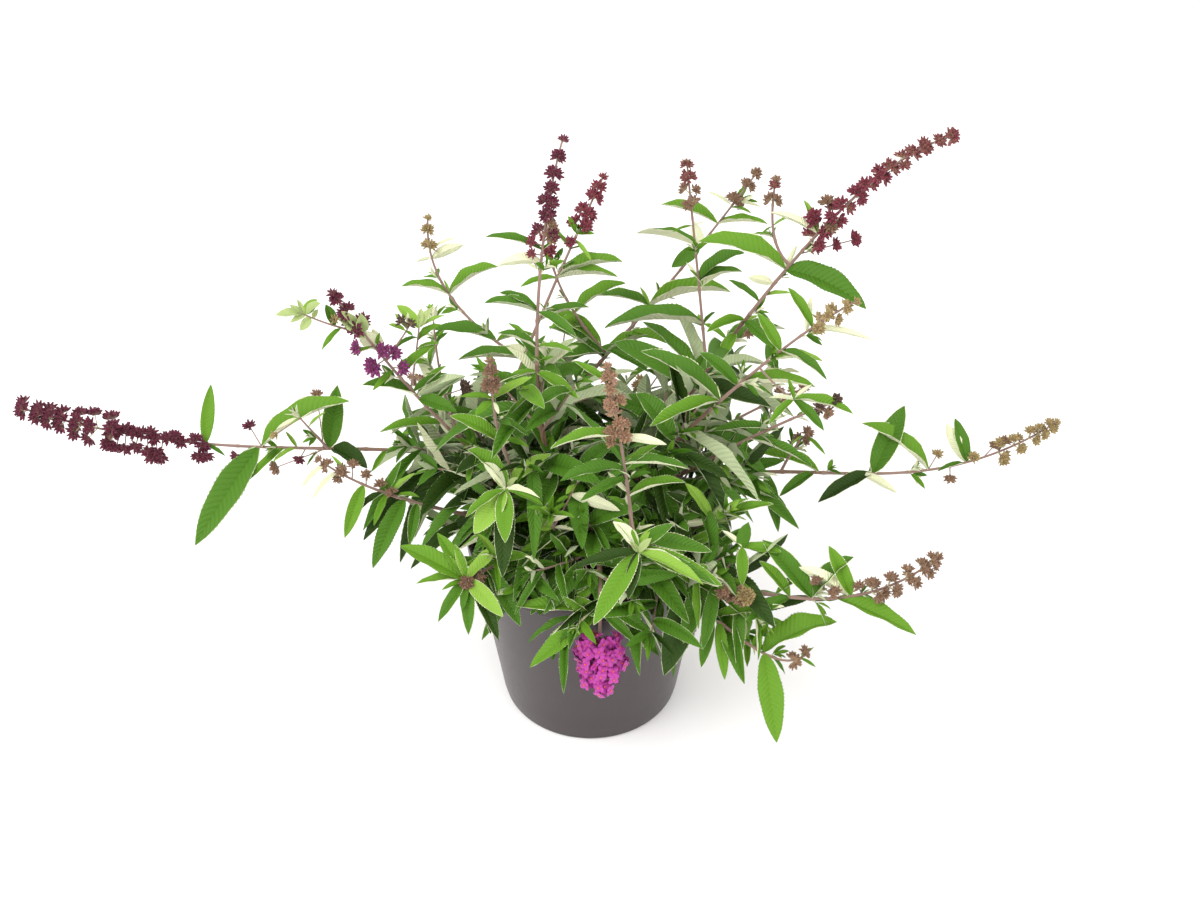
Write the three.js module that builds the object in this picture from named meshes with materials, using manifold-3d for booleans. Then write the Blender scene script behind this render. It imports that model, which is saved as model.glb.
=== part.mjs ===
// A young butterfly bush in its nursery pot, after flowering.
// Millimetres, +Z up, +X to the right of the plant, +Y to its back.
// The origin is at the middle of the pot's flat underside.

import * as THREE from 'three';
import { mergeVertices } from 'three/addons/utils/BufferGeometryUtils.js';
import Module from 'manifold-3d';

const wasm = await Module();
wasm.setup();

// ---------------------------------------------------------------- driving dimensions

const CLEARANCE = 0.3;

const POT = {
  height: 165, rimRadius: 95, footRadius: 71, wall: 2.5, floor: 3, footRound: 3,
  lipHeight: 13, lipProud: 2, lipSlope: 2, lipTaper: 0.6, lipRound: 1.5, sides: 40,
};
const SOIL = { surface: 149, edgeDip: 2, dome: 2.5, domeRadius: 45, moundRadius: 21, sides: 40 };
const CROWN = {
  height: 27, flareRadius: 17, shoulderRadius: 12, shoulderHeight: 5, neckRadius: 10.5,
  neckFoot: 10, neckTop: 23, topRadius: 8, crest: 1, sides: 14,
};

const BOUGH = { footRadius: 2.5, endRadius: 1.9, sides: 5, stepLength: 26, footInset: 5 };
const STEM = { radius: 1.7, tipRadius: 0.7, sides: 3, stepLength: 32 };
const SIDE_STEM = { radius: 1.35, firstLeaf: 0.12 };

// Pairs of leaves along a stem: each pair is turned from the last, and leaves shrink to the tip.
// A range in brackets is drawn from by chance.
const PAIR = {
  turn: 90, turnSpread: 30, opening: [48, 78], size: [0.82, 1.08], droop: [0.04, 0.42],
  tipVigour: 0.7, last: 0.985,
};
const LEAF = {
  widthRatio: 0.27, thicknessRatio: 0.026, fold: 0.3, widestAt: 0.42,
  rootSink: 0.9, freeFrom: 0.12, twist: 0.15,
};
const TWIG = {
  radius: 1.1, tipRadius: 0.6, length: [22, 44], chance: 0.12, lean: [30, 52], rise: 0.25,
  freeFrom: 0.25, leafAt: 0.96, leafSize: [0.5, 0.72], leafMin: 24, leafDroop: [0.05, 0.3],
  leafTurnSpread: 40, leafForward: 0.72, leafOutward: 0.7,
};
const SPIKE = { whorlPitch: 12, baseRadius: 13, tipRadius: 5, waist: 0.4, depthRatio: 0.72, sides: 4 };

// Foliage keeps inside this box, which the furthest tips reach.
const REACH = new THREE.Box3(new THREE.Vector3(-440, -165, 22), new THREE.Vector3(368, 215, 488));

// How late on a bow its end turns up or down.
const BOW_TURN = 5;

// Height above the soil at which boughs leave the crown, lowest first.
const TIERS = [7, 14, 21];

// Every shoot runs from its foot to its tip on one bow.
//   tier     the tier its bough leaves the crown from; foot: at which heading
//   heading  where its tip points, 0 to the right, 90 to the back; reach: how far out it is
//   top      height of the tip
//   arch     rise of the bow's middle; sway: its swing to the left; pull: its shift to the foot
//   lift     turn of its end upwards, where it has one
//   bare     share of the way that is a bare bough
//   leaf     length of its largest leaves; pitch: distance between its pairs of leaves
//   spike    length of the flower spike at its tip, 0 for a leafy tip
const SHOOTS = [
  { name: 'far_left', tier: 0, foot: 170, heading: 173, reach: 438, top: 236,
    arch: 15, sway: -48, lift: 129, pull: 62, bare: 0.24, leaf: 84, pitch: 34, spike: 122 },
  { name: 'left_low', tier: 0, foot: 207, heading: 180, reach: 200, top: 227,
    arch: -6, sway: 2, lift: 2, pull: -23, bare: 0.36, leaf: 62, pitch: 28, spike: 20 },
  { name: 'left_high', tier: 1, foot: 182, heading: 185, reach: 172, top: 380,
    arch: -30, sway: -8, lift: -9, pull: -5, bare: 0.3, leaf: 72, pitch: 31, spike: 84 },
  { name: 'back_left', tier: 1, foot: 160, heading: 85, reach: 109, top: 402,
    arch: -82, sway: 72, lift: 31, pull: 35, bare: 0.34, leaf: 76, pitch: 32, spike: 40 },
  { name: 'tall_middle', tier: 2, foot: 135, heading: 117, reach: 38, top: 468,
    arch: -40, sway: 36, lift: -65, pull: 18, bare: 0.34, leaf: 74, pitch: 33, spike: 64 },
  { name: 'back_right', tier: 2, foot: 58, heading: 51, reach: 202, top: 382,
    arch: -47, sway: 67, lift: 99, pull: 67, bare: 0.32, leaf: 74, pitch: 32, spike: 28 },
  { name: 'right_high', tier: 1, foot: 20, heading: 8, reach: 243, top: 472,
    arch: -37, sway: 42, lift: -97, pull: 8, bare: 0.3, leaf: 78, pitch: 32, spike: 130 },
  { name: 'right_middle', tier: 2, foot: -6, heading: -10, reach: 179, top: 384,
    arch: 6, sway: 2, lift: -16, pull: 1, bare: 0.34, leaf: 68, pitch: 30, spike: 34 },
  { name: 'right_small', tier: 1, foot: -15, heading: 0, reach: 177, top: 280,
    arch: 18, sway: -3, pull: -12, bare: 0.38, leaf: 60, pitch: 27, spike: 14 },
  { name: 'far_right', tier: 0, foot: 5, heading: 9, reach: 365, top: 219,
    arch: 25, sway: 22, lift: 160, pull: 25, bare: 0.28, leaf: 84, pitch: 34, spike: 58 },
  { name: 'low_right', tier: 0, foot: -12, heading: -24, reach: 262, top: 226,
    arch: 4, sway: -41, lift: 51, pull: -17, bare: 0.38, leaf: 76, pitch: 33, spike: 52 },
  { name: 'front_right', tier: 1, foot: -30, heading: -48, reach: 158, top: 200,
    arch: 0, sway: 3, pull: -11, bare: 0.42, leaf: 64, pitch: 28, spike: 18 },
  { name: 'hanging_right', tier: 0, foot: -74, heading: -38, reach: 195, top: 145,
    arch: 33, sway: -28, lift: 70, pull: -31, bare: 0.42, leaf: 76, pitch: 27, spike: 10 },
  { name: 'leafy_right', tier: 2, foot: -45, heading: -33, reach: 112, top: 226,
    arch: -13, sway: 3, pull: -8, bare: 0.34, leaf: 72, pitch: 25, spike: 0 },
  { name: 'front_middle', tier: 2, foot: -72, heading: -82, reach: 89, top: 371,
    arch: -59, sway: 19, lift: 22, pull: -28, bare: 0.22, leaf: 74, pitch: 29, spike: 54 },
  { name: 'leafy_front', tier: 1, foot: -116, heading: -108, reach: 84, top: 240,
    arch: -14, sway: -6, pull: -2, bare: 0.34, leaf: 70, pitch: 25, spike: 0 },
  { name: 'fresh_flower', tier: 0, foot: -99, heading: -87, reach: 127, top: 110,
    arch: 47, sway: 4, lift: -44, pull: 0, bare: 0.52, leaf: 52, pitch: 26, spike: 50 },
  { name: 'front_left', tier: 2, foot: -126, heading: -134, reach: 92, top: 360,
    arch: -27, sway: -10, lift: -4, pull: -15, bare: 0.24, leaf: 72, pitch: 30, spike: 22 },
  { name: 'low_left', tier: 0, foot: -138, heading: -134, reach: 126, top: 190,
    arch: 4, sway: 0, pull: 0, bare: 0.42, leaf: 62, pitch: 22, spike: 12 },
  { name: 'rear_left', tier: 0, foot: 116, heading: 134, reach: 216, top: 194,
    arch: 8, sway: -7, pull: -7, bare: 0.34, leaf: 78, pitch: 29, spike: 40 },
  { name: 'rear_mid_left', tier: 0, foot: 88, heading: 108, reach: 174, top: 190,
    arch: 13, sway: 0, pull: 1, bare: 0.34, leaf: 76, pitch: 26, spike: 34 },
  { name: 'rear_mid_right', tier: 0, foot: 74, heading: 76, reach: 172, top: 184,
    arch: 13, sway: -8, pull: 0, bare: 0.34, leaf: 76, pitch: 26, spike: 30 },
  { name: 'rear_right', tier: 0, foot: 42, heading: 38, reach: 226, top: 194,
    arch: 8, sway: 8, pull: 0, bare: 0.34, leaf: 78, pitch: 29, spike: 40 },
];

// Side shoots leave a main shoot, "fork" of the way along it, and are fused to its mass.
const SIDE_SHOOTS = [
  { name: 'back_left', fork: 0.56, heading: 138, reach: 161, top: 369,
    arch: -8, sway: 6, pull: -21, leaf: 62, pitch: 28, spike: 22 },
  { name: 'left_high', fork: 0.42, heading: 160, reach: 120, top: 322,
    arch: -10, sway: 4, pull: 0, leaf: 52, pitch: 26, spike: 0 },
  { name: 'back_right', fork: 0.48, heading: 104, reach: 134, top: 353,
    arch: -1, sway: 4, pull: -12, leaf: 58, pitch: 27, spike: 24 },
  { name: 'right_high', fork: 0.36, heading: 59, reach: 138, top: 409,
    arch: -21, sway: -5, pull: -8, leaf: 58, pitch: 28, spike: 34 },
  { name: 'right_high', fork: 0.62, heading: 33, reach: 158, top: 412,
    arch: -9, sway: 5, pull: -3, leaf: 44, pitch: 26, spike: 15 },
  { name: 'far_left', fork: 0.49, heading: 164, reach: 235, top: 218,
    arch: 2, sway: 4, pull: 0, leaf: 40, pitch: 24, spike: 0 },
  { name: 'far_right', fork: 0.41, heading: 14, reach: 171, top: 220,
    arch: 2, sway: 4, pull: 0, leaf: 40, pitch: 30, spike: 10 },
  { name: 'rear_mid_left', fork: 0.5, heading: 100, reach: 132, top: 216,
    arch: -2, sway: 5, pull: 0, leaf: 60, pitch: 27, spike: 24 },
  { name: 'rear_right', fork: 0.5, heading: 52, reach: 156, top: 218,
    arch: -2, sway: 4, pull: 0, leaf: 60, pitch: 27, spike: 24 },
];

// ---------------------------------------------------------------- colours

const finish = (color, roughness) => new THREE.MeshStandardMaterial({ color, roughness, metalness: 0 });
const POT_FINISH = finish(0x5e565b, 0.42);
const SOIL_FINISH = finish(0x2b2320, 0.95);
const BARK_FINISH = finish(0x8c6a58, 0.8);
const FOLIAGE_FINISH = finish(0x4f7a2b, 0.7);

// ---------------------------------------------------------------- solids

const UP = new THREE.Vector3(0, 0, 1);
const radians = THREE.MathUtils.degToRad;
const mix = THREE.MathUtils.lerp;
const within = ([low, high], share) => mix(low, high, share);

// A manifold solid from a closed geometry.
function solidOf(geometry) {
  geometry.deleteAttribute('normal');
  geometry.deleteAttribute('uv');
  const merged = mergeVertices(geometry, 1e-4);
  return new wasm.Manifold(new wasm.Mesh({
    numProp: 3,
    vertProperties: merged.attributes.position.array,
    triVerts: new Uint32Array(merged.index.array),
  }));
}

// A geometry from a manifold solid.
function geometryOf(solid) {
  const mesh = solid.getMesh();
  const geometry = new THREE.BufferGeometry();
  geometry.setAttribute('position', new THREE.BufferAttribute(mesh.vertProperties, 3));
  geometry.setIndex(new THREE.BufferAttribute(mesh.triVerts, 1));
  return geometry;
}

// Moves every vertex of a geometry to place(x, y, z).
function shape(geometry, place) {
  const spots = geometry.attributes.position;
  for (let i = 0; i < spots.count; i++) {
    const spot = place(spots.getX(i), spots.getY(i), spots.getZ(i));
    spots.setXYZ(i, spot.x, spot.y, spot.z);
  }
  return geometry;
}

// A turned solid from [radius, height] pairs that start and end on the axis.
function turned(profile, sides) {
  const points = profile.map(([radius, height]) => new THREE.Vector2(radius, height));
  return new THREE.LatheGeometry(points, sides).rotateX(Math.PI / 2);
}

// A limb that tapers along the stretch of a curve between two shares of its length.
function limb(curve, from, to, startRadius, endRadius, sides, stepLength) {
  const steps = Math.max(1, Math.round(curve.getLength() * (to - from) / stepLength));
  const across = new THREE.Vector3();
  return shape(new THREE.CylinderGeometry(1, 1, 1, sides, steps), (x, y, z) => {
    const share = y + 0.5;
    const along = mix(from, to, share);
    const radius = mix(startRadius, endRadius, share);
    const { left, over } = frameAt(curve, along);
    across.copy(left).multiplyScalar(x * radius).addScaledVector(over, -z * radius);
    return curve.getPointAt(along).add(across);
  });
}

// Directions at a share of a curve: along it, to its left and over it.
function frameAt(curve, share) {
  const along = curve.getTangentAt(share);
  const left = curve.side.clone().addScaledVector(along, -curve.side.dot(along)).normalize();
  return { along, left, over: along.clone().cross(left) };
}

// ---------------------------------------------------------------- pot, soil and crown

// Radius of the pot's outside, below its lip, at a height.
const wallRadius = (z) => mix(POT.footRadius, POT.rimRadius - POT.lipProud, z / POT.height);
const insideRadius = (z) => wallRadius(z) - POT.wall;

function pot() {
  const lipFoot = POT.height - POT.lipHeight;
  const lipStart = lipFoot - POT.lipSlope;
  return turned([
    [0, 0],
    [POT.footRadius - POT.footRound, 0],
    [wallRadius(POT.footRound), POT.footRound],
    [wallRadius(lipStart), lipStart],
    [POT.rimRadius - POT.lipTaper, lipFoot],
    [POT.rimRadius, POT.height - POT.lipRound],
    [POT.rimRadius - POT.lipRound, POT.height],
    [insideRadius(POT.height), POT.height],
    [insideRadius(POT.floor), POT.floor],
    [0, POT.floor],
  ], POT.sides);
}

function soil() {
  const bottom = POT.floor + CLEARANCE;
  return turned([
    [0, bottom],
    [insideRadius(bottom) - CLEARANCE, bottom],
    [insideRadius(SOIL.surface) - CLEARANCE, SOIL.surface - SOIL.edgeDip],
    [SOIL.domeRadius, SOIL.surface],
    [SOIL.moundRadius, SOIL.surface + SOIL.dome],
    [0, SOIL.surface + SOIL.dome],
  ], SOIL.sides);
}

const CROWN_FOOT = SOIL.surface + SOIL.dome + CLEARANCE;

// The short woody stem that all boughs leave, grown by "extra" all round.
function crown(extra) {
  const top = CROWN_FOOT + CROWN.height + extra;
  return turned([
    [0, CROWN_FOOT],
    [CROWN.flareRadius + extra, CROWN_FOOT],
    [CROWN.shoulderRadius + extra, CROWN_FOOT + CROWN.shoulderHeight],
    [CROWN.neckRadius + extra, CROWN_FOOT + CROWN.neckFoot],
    [CROWN.neckRadius + extra, CROWN_FOOT + CROWN.neckTop],
    [CROWN.topRadius + extra, top],
    [0, top + CROWN.crest],
  ], CROWN.sides);
}

// ---------------------------------------------------------------- the rule of growth

const SEED_SPREAD = 2654435761;
const SIDE_SEED = 101;

// Numbers from 0 to 1 that are the same for the same seed on every run.
function seeded(seed) {
  let state = (seed * SEED_SPREAD) >>> 0;
  return () => {
    state = (Math.imul(state, 1664525) + 1013904223) >>> 0;
    return state / 2 ** 32;
  };
}

// The point at a heading and a distance from the plant's axis.
function polar(heading, distance, height) {
  return new THREE.Vector3(
    distance * Math.cos(radians(heading)), distance * Math.sin(radians(heading)), height);
}

// A bow whose last stretch turns up by "lift", or down where that is below zero.
class Bow extends THREE.QuadraticBezierCurve3 {
  constructor(foot, control, tip, lift, side) {
    super(foot, control, tip);
    this.lift = lift;
    this.side = side;
  }

  getPoint(share, target = new THREE.Vector3()) {
    super.getPoint(share, target);
    target.z += this.lift * share ** BOW_TURN;
    return target;
  }
}

// The bow from a foot to a shoot's tip.
function bowOf(shoot, foot) {
  const tip = polar(shoot.heading, shoot.reach, shoot.top);
  const run = tip.clone().sub(foot).setZ(0).normalize();
  const side = new THREE.Vector3(-run.y, run.x, 0);
  const control = foot.clone().lerp(tip, 0.5).addScaledVector(UP, 2 * shoot.arch)
    .addScaledVector(side, 2 * shoot.sway).addScaledVector(run, -2 * shoot.pull);
  return new Bow(foot, control, tip.setZ(shoot.top - (shoot.lift ?? 0)), shoot.lift ?? 0, side);
}

// A leaf that springs from "root": "out" is the way it sets off and "apex" the way its stem grows.
function leaf(root, out, apex, length, droop) {
  const rising = Math.max(0, out.z);
  const face = UP.clone().addScaledVector(out, -out.z).multiplyScalar(1 - rising)
    .addScaledVector(apex.clone().addScaledVector(out, -apex.dot(out)), rising + LEAF.twist).normalize();
  const across = face.clone().cross(out);
  return { root, out, face, across, length, droop };
}

// A place on a leaf: share along it, offset across it and height over it.
function onLeaf(blade, share, offset, height) {
  return blade.root.clone()
    .addScaledVector(blade.out, blade.length * share)
    .addScaledVector(UP, -blade.droop * blade.length * share * share)
    .addScaledVector(blade.across, offset)
    .addScaledVector(blade.face, height);
}

// A direction that leans from "along" towards "outward" by an angle in degrees.
function leaning(along, outward, angle) {
  return along.clone().multiplyScalar(Math.cos(radians(angle)))
    .addScaledVector(outward, Math.sin(radians(angle)));
}

// Everything that grows from one shoot, past the share "bare" of its bow.
function grow(curve, shoot, bare, seed) {
  const random = seeded(seed);
  const total = curve.getLength();
  const step = shoot.pitch / total;
  const spikeStart = 1 - shoot.spike / total;
  const end = shoot.spike ? spikeStart : PAIR.last;
  const growth = { curve, leaves: [], twigs: [], spikeStart };
  let turn = 360 * random();

  for (let share = bare + step / 2; share < end; share += step) {
    const { along, left, over } = frameAt(curve, share);
    const root = curve.getPointAt(share);
    const largest = shoot.leaf * mix(1, PAIR.tipVigour, (share - bare) / (1 - bare));
    turn += PAIR.turn + PAIR.turnSpread * (random() - 0.5);
    for (const half of [0, 180]) {
      const outward = leaning(left, over, turn + half);
      const out = leaning(along, outward, within(PAIR.opening, random()));
      const length = largest * within(PAIR.size, random());
      growth.leaves.push(leaf(root, out, along, length, within(PAIR.droop, random())));
      const sprouts = random() < TWIG.chance;
      const reach = within(TWIG.length, random());
      if (sprouts) growth.twigs.push(twig(root, along, outward, reach, largest, random));
    }
  }
  return growth;
}

// A side twig: a short straight stem with a pair of small leaves at its tip.
function twig(root, along, outward, reach, largest, random) {
  const way = leaning(along, outward, within(TWIG.lean, random())).addScaledVector(UP, TWIG.rise).normalize();
  const curve = new THREE.LineCurve3(root, root.clone().addScaledVector(way, reach));
  curve.side = outward.clone().cross(way).normalize();
  const { left, over } = frameAt(curve, 0);
  const leaves = [];
  for (const half of [0, 180]) {
    const outer = leaning(left, over, half + TWIG.leafTurnSpread * (random() - 0.5));
    const out = way.clone().multiplyScalar(TWIG.leafForward).addScaledVector(outer, TWIG.leafOutward);
    const length = Math.max(TWIG.leafMin, largest * within(TWIG.leafSize, random()));
    const droop = within(TWIG.leafDroop, random());
    leaves.push(leaf(curve.getPointAt(TWIG.leafAt), out.normalize(), way, length, droop));
  }
  return { curve, leaves };
}

// ---------------------------------------------------------------- foliage solids

// A leaf as a folded eight-faced blade. "extra" grows it all round, and its root is at share "from".
function leafSolid(blade, extra, from) {
  const halfWidth = blade.length * LEAF.widthRatio / 2 + extra;
  const halfThick = blade.length * LEAF.thicknessRatio / 2 + extra;
  const end = 1 + extra / blade.length;
  return solidOf(shape(new THREE.OctahedronGeometry(1), (x, y, z) => {
    const share = x < -0.5 ? from : x > 0.5 ? end : LEAF.widestAt;
    const lift = Math.abs(y) > 0.5 ? LEAF.fold * halfWidth : 0;
    return onLeaf(blade, share, y * halfWidth, z * halfThick + lift);
  }));
}

// A spike of spent flowers: a whorl bulges from its stem every few millimetres, widest
// along one pair of branches and then along the next. "extra" grows it all round.
function spikeSolid(curve, spikeStart, extra) {
  const whorls = Math.max(1, Math.round(curve.getLength() * (1 - spikeStart) / SPIKE.whorlPitch));
  const rings = 2 * whorls;
  return solidOf(shape(new THREE.CylinderGeometry(1, 1, 1, SPIKE.sides, rings), (x, y, z) => {
    const progress = y + 0.5;
    const ring = Math.round(progress * rings);
    const share = mix(spikeStart, 1, progress);
    const bulge = mix(SPIKE.baseRadius, SPIKE.tipRadius, progress);
    const radius = ring % 2 ? bulge : bulge * SPIKE.waist;
    const ratio = ring % 4 === 1 ? [1, SPIKE.depthRatio] : [SPIKE.depthRatio, 1];
    const { left, over } = frameAt(curve, share);
    return curve.getPointAt(share)
      .addScaledVector(left, x * (radius * ratio[0] + extra))
      .addScaledVector(over, -z * (radius * ratio[1] + extra));
  }));
}

// Whether two boxes come near each other.
function near(one, other) {
  return [0, 1, 2].every((i) => one.min[i] < other.max[i] && other.min[i] < one.max[i]);
}

// Whether a solid meets any of the others.
function meets(solid, others) {
  const box = solid.boundingBox();
  return others.some((other) => near(box, other.boundingBox()) && !solid.intersect(other).isEmpty());
}

function withinReach(solid) {
  const box = solid.boundingBox();
  return REACH.containsPoint(new THREE.Vector3(...box.min))
    && REACH.containsPoint(new THREE.Vector3(...box.max));
}

// The largest body of a solid, with its hollows filled.
function wholeBody(solid) {
  return solid.decompose().reduce((best, body) => (body.volume() > best.volume() ? body : best));
}

// ---------------------------------------------------------------- assembly

const HEART = new THREE.Vector3(0, 0, CROWN_FOOT);
const potSolid = solidOf(pot());
const soilSolid = solidOf(soil());
const crownSolid = solidOf(crown(0));
const crownRoom = solidOf(crown(CLEARANCE));

// Each shoot: its bough's solid, what grows from it, and the parts of its mass.
const plants = SHOOTS.map((shoot, index) => {
  const foot = polar(shoot.foot, BOUGH.footInset, CROWN_FOOT + TIERS[shoot.tier]);
  const curve = bowOf(shoot, foot);
  const start = shoot.bare + CLEARANCE / curve.getLength();
  const bough = solidOf(limb(curve, 0, shoot.bare, BOUGH.footRadius, BOUGH.endRadius,
    BOUGH.sides, BOUGH.stepLength)).subtract(crownRoom);
  const stems = [limb(curve, start, 1, STEM.radius, STEM.tipRadius, STEM.sides, STEM.stepLength)];
  const growths = [grow(curve, shoot, shoot.bare, index + 1)];
  SIDE_SHOOTS.forEach((side, sideIndex) => {
    if (side.name !== shoot.name) return;
    const branch = bowOf(side, curve.getPointAt(side.fork));
    stems.push(limb(branch, 0, 1, SIDE_STEM.radius, STEM.tipRadius, STEM.sides, STEM.stepLength));
    growths.push(grow(branch, side, SIDE_STEM.firstLeaf, SIDE_SEED + sideIndex));
  });
  const stem = wasm.Manifold.union(stems.map(solidOf));
  return { name: shoot.name, bough: wholeBody(bough), growths, parts: [stem], foliage: [] };
});

const fixed = [potSolid, soilSolid, crownSolid, ...plants.map((plant) => plant.bough)];

// Fuses a part to a plant's mass if there is room: "roomy" has to clear everything else
// and "free", the part without its root, the mass's own foliage.
function fit(plant, exact, roomy, free) {
  if (!withinReach(roomy)) return false;
  const others = plants.filter((other) => other !== plant).flatMap((other) => other.parts);
  if (meets(roomy, fixed) || meets(roomy, others) || meets(free, plant.foliage)) return false;
  plant.parts.push(exact);
  plant.foliage.push(exact);
  return true;
}

function fitSpike(plant, { curve, spikeStart }) {
  if (spikeStart === 1) return;
  const exact = spikeSolid(curve, spikeStart, 0);
  fit(plant, exact, spikeSolid(curve, spikeStart, CLEARANCE), exact);
}

function fitLeaf(plant, blade) {
  const sunk = -LEAF.rootSink / blade.length;
  fit(plant, leafSolid(blade, 0, sunk), leafSolid(blade, CLEARANCE, sunk),
    leafSolid(blade, CLEARANCE, LEAF.freeFrom));
}

function fitTwig(plant, side) {
  const stemOf = (from, extra) => solidOf(limb(side.curve, from, 1, TWIG.radius + extra,
    TWIG.tipRadius + extra, STEM.sides, STEM.stepLength));
  const stemFits = fit(plant, stemOf(0, 0), stemOf(0, CLEARANCE), stemOf(TWIG.freeFrom, CLEARANCE));
  if (stemFits) side.leaves.forEach((blade) => fitLeaf(plant, blade));
}

// The foliage of one kind on all shoots, as [plant, piece] pairs.
function everywhere(kind) {
  const piecesOf = (plant) => plant.growths.flatMap((growth) => growth[kind]);
  return plants.flatMap((plant) => piecesOf(plant).map((piece) => [plant, piece]));
}

// Flower spikes come first, then leaves from the outside in, then side twigs where room is left.
plants.forEach((plant) => plant.growths.forEach((growth) => fitSpike(plant, growth)));
everywhere('leaves')
  .sort(([, one], [, other]) => other.root.distanceTo(HEART) - one.root.distanceTo(HEART))
  .forEach(([plant, blade]) => fitLeaf(plant, blade));
everywhere('twigs').forEach(([plant, side]) => fitTwig(plant, side));

const group = new THREE.Group();

function add(name, solid, material) {
  const mesh = new THREE.Mesh(geometryOf(solid), material);
  mesh.name = name;
  group.add(mesh);
}

add('pot', potSolid, POT_FINISH);
add('soil', soilSolid, SOIL_FINISH);
add('crown', crownSolid, BARK_FINISH);
for (const plant of plants) {
  add(`bough_${plant.name}`, plant.bough, BARK_FINISH);
  add(`mass_${plant.name}`, wholeBody(wasm.Manifold.union(plant.parts)), FOLIAGE_FINISH);
}

export default group;
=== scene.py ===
"""Dresses the potted butterfly bush: pot, compost, bark, leaves, spent spikes and a fresh flower.

Millimetres are used while the bush grows, and metres in the finished meshes.
+X is to the right of the plant, +Y to its back, +Z up.
"""
import math
import random
from collections import namedtuple

import bmesh
import bpy
import numpy as np
from bpy.props import FloatProperty, FloatVectorProperty, PointerProperty
from mathutils import Euler, Matrix, Vector, noise


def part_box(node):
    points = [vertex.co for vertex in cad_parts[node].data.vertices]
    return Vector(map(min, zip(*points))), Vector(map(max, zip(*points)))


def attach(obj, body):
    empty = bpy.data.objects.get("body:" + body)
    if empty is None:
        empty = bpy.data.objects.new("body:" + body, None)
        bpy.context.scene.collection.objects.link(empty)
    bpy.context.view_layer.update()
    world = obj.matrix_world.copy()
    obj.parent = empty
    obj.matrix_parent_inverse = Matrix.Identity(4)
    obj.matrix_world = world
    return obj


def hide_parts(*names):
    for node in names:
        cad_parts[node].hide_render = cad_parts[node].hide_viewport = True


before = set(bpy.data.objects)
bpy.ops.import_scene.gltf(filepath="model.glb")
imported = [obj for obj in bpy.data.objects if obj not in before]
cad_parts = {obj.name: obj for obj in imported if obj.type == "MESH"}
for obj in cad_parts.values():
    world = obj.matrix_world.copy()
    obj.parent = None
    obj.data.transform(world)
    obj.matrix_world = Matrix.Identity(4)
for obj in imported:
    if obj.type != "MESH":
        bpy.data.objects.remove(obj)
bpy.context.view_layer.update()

bl_info = {
    "name": "Potted butterfly bush",
    "version": (1, 0, 0),
    "blender": (4, 5, 0),
    "location": "3D View > Sidebar > Bush",
    "description": "Grows a butterfly bush after flowering in its nursery pot",
    "category": "Object",
}

MM = 0.001
UP = Vector((0, 0, 1))

# ---------------------------------------------------------------- sizes of the bush, in millimetres

POT_SIDES = 128
POT_FLOOR = 3
POT_LIP = {"height": 13, "proud": 2, "taper": 0.6, "round": 1.5, "blend": 3.4, "below": 3}
POT_FOOT_ROUND = 3
SOIL = {"surface": 149, "edge_dip": 2, "dome": 2.5, "dome_radius": 45, "mound_radius": 21,
        "rings": 36, "sides": 112}
CLEARANCE = 0.3
OFF_FLOOR = 2
CROWN_FOOT = SOIL["surface"] + SOIL["dome"] + CLEARANCE
CROWN = [(17, 0), (12, 5), (10.5, 10), (10.5, 23), (8, 27)]
CROWN_CREST = 1
BOUGH = {"foot": 2.5, "end": 1.9, "inset": 5}
STEM = {"foot": 1.65, "tip": 0.7}
SIDE_STEM = {"foot": 1.25, "first_leaf": 0.12}
TIERS = (7, 14, 21)
BOW_TURN = 5
BOW_PARTS = 200

# A pair of numbers is a range that is drawn from by chance.
PAIR = {
    "turn": 90, "spread": 30, "opening": (52, 80), "size": (0.82, 1.08), "droop": (0.1, 0.5),
    "tip_vigour": 0.7, "last": 0.985,
}
# Ages of leaves, from 0 for deep green ones to 3 for the youngest, and more for downy ones: the
# first of a shoot and the gain to its tip, and the height in millimetres from which none is old.
# The deep green of old, low and inner leaves is partly their own colour and partly painted shade.
LEAF_AGE = {"first": 0.4, "gain": 1.9, "high": 235, "stretch": 60, "most": 1.2, "downy": 3.5,
            "stray": 0.55}
# The age from which the underside is thick felt, by the rule and on the open shoots, and the
# share of the margins that show it.
FELTING = {"age": 1.2, "open_age": 0.5, "stray": 0.8, "margins": 0.6}
LEAF_TWIST = 0.15
PIECE_TRIANGLES = 190000
TWIG = {
    "chance": 0.12, "length": (22, 44), "lean": (30, 52), "rise": 0.25, "leaf_at": 0.96,
    "leaf_size": (0.5, 0.72), "leaf_min": 24, "leaf_droop": (0.05, 0.3), "leaf_spread": 40,
    "leaf_forward": 0.72, "leaf_outward": 0.7, "foot": 1.1, "tip": 0.6,
    "low_leaf_at": 0.55, "low_leaf_lean": 50, "low_leaf_size": 0.6, "tuft": 13,
}
SEED_SPREAD = 2654435761
SIDE_SEED = 101

# Foliage keeps inside this box.
REACH = (Vector((-443, -172, 18)), Vector((374, 218, 490)))

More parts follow.
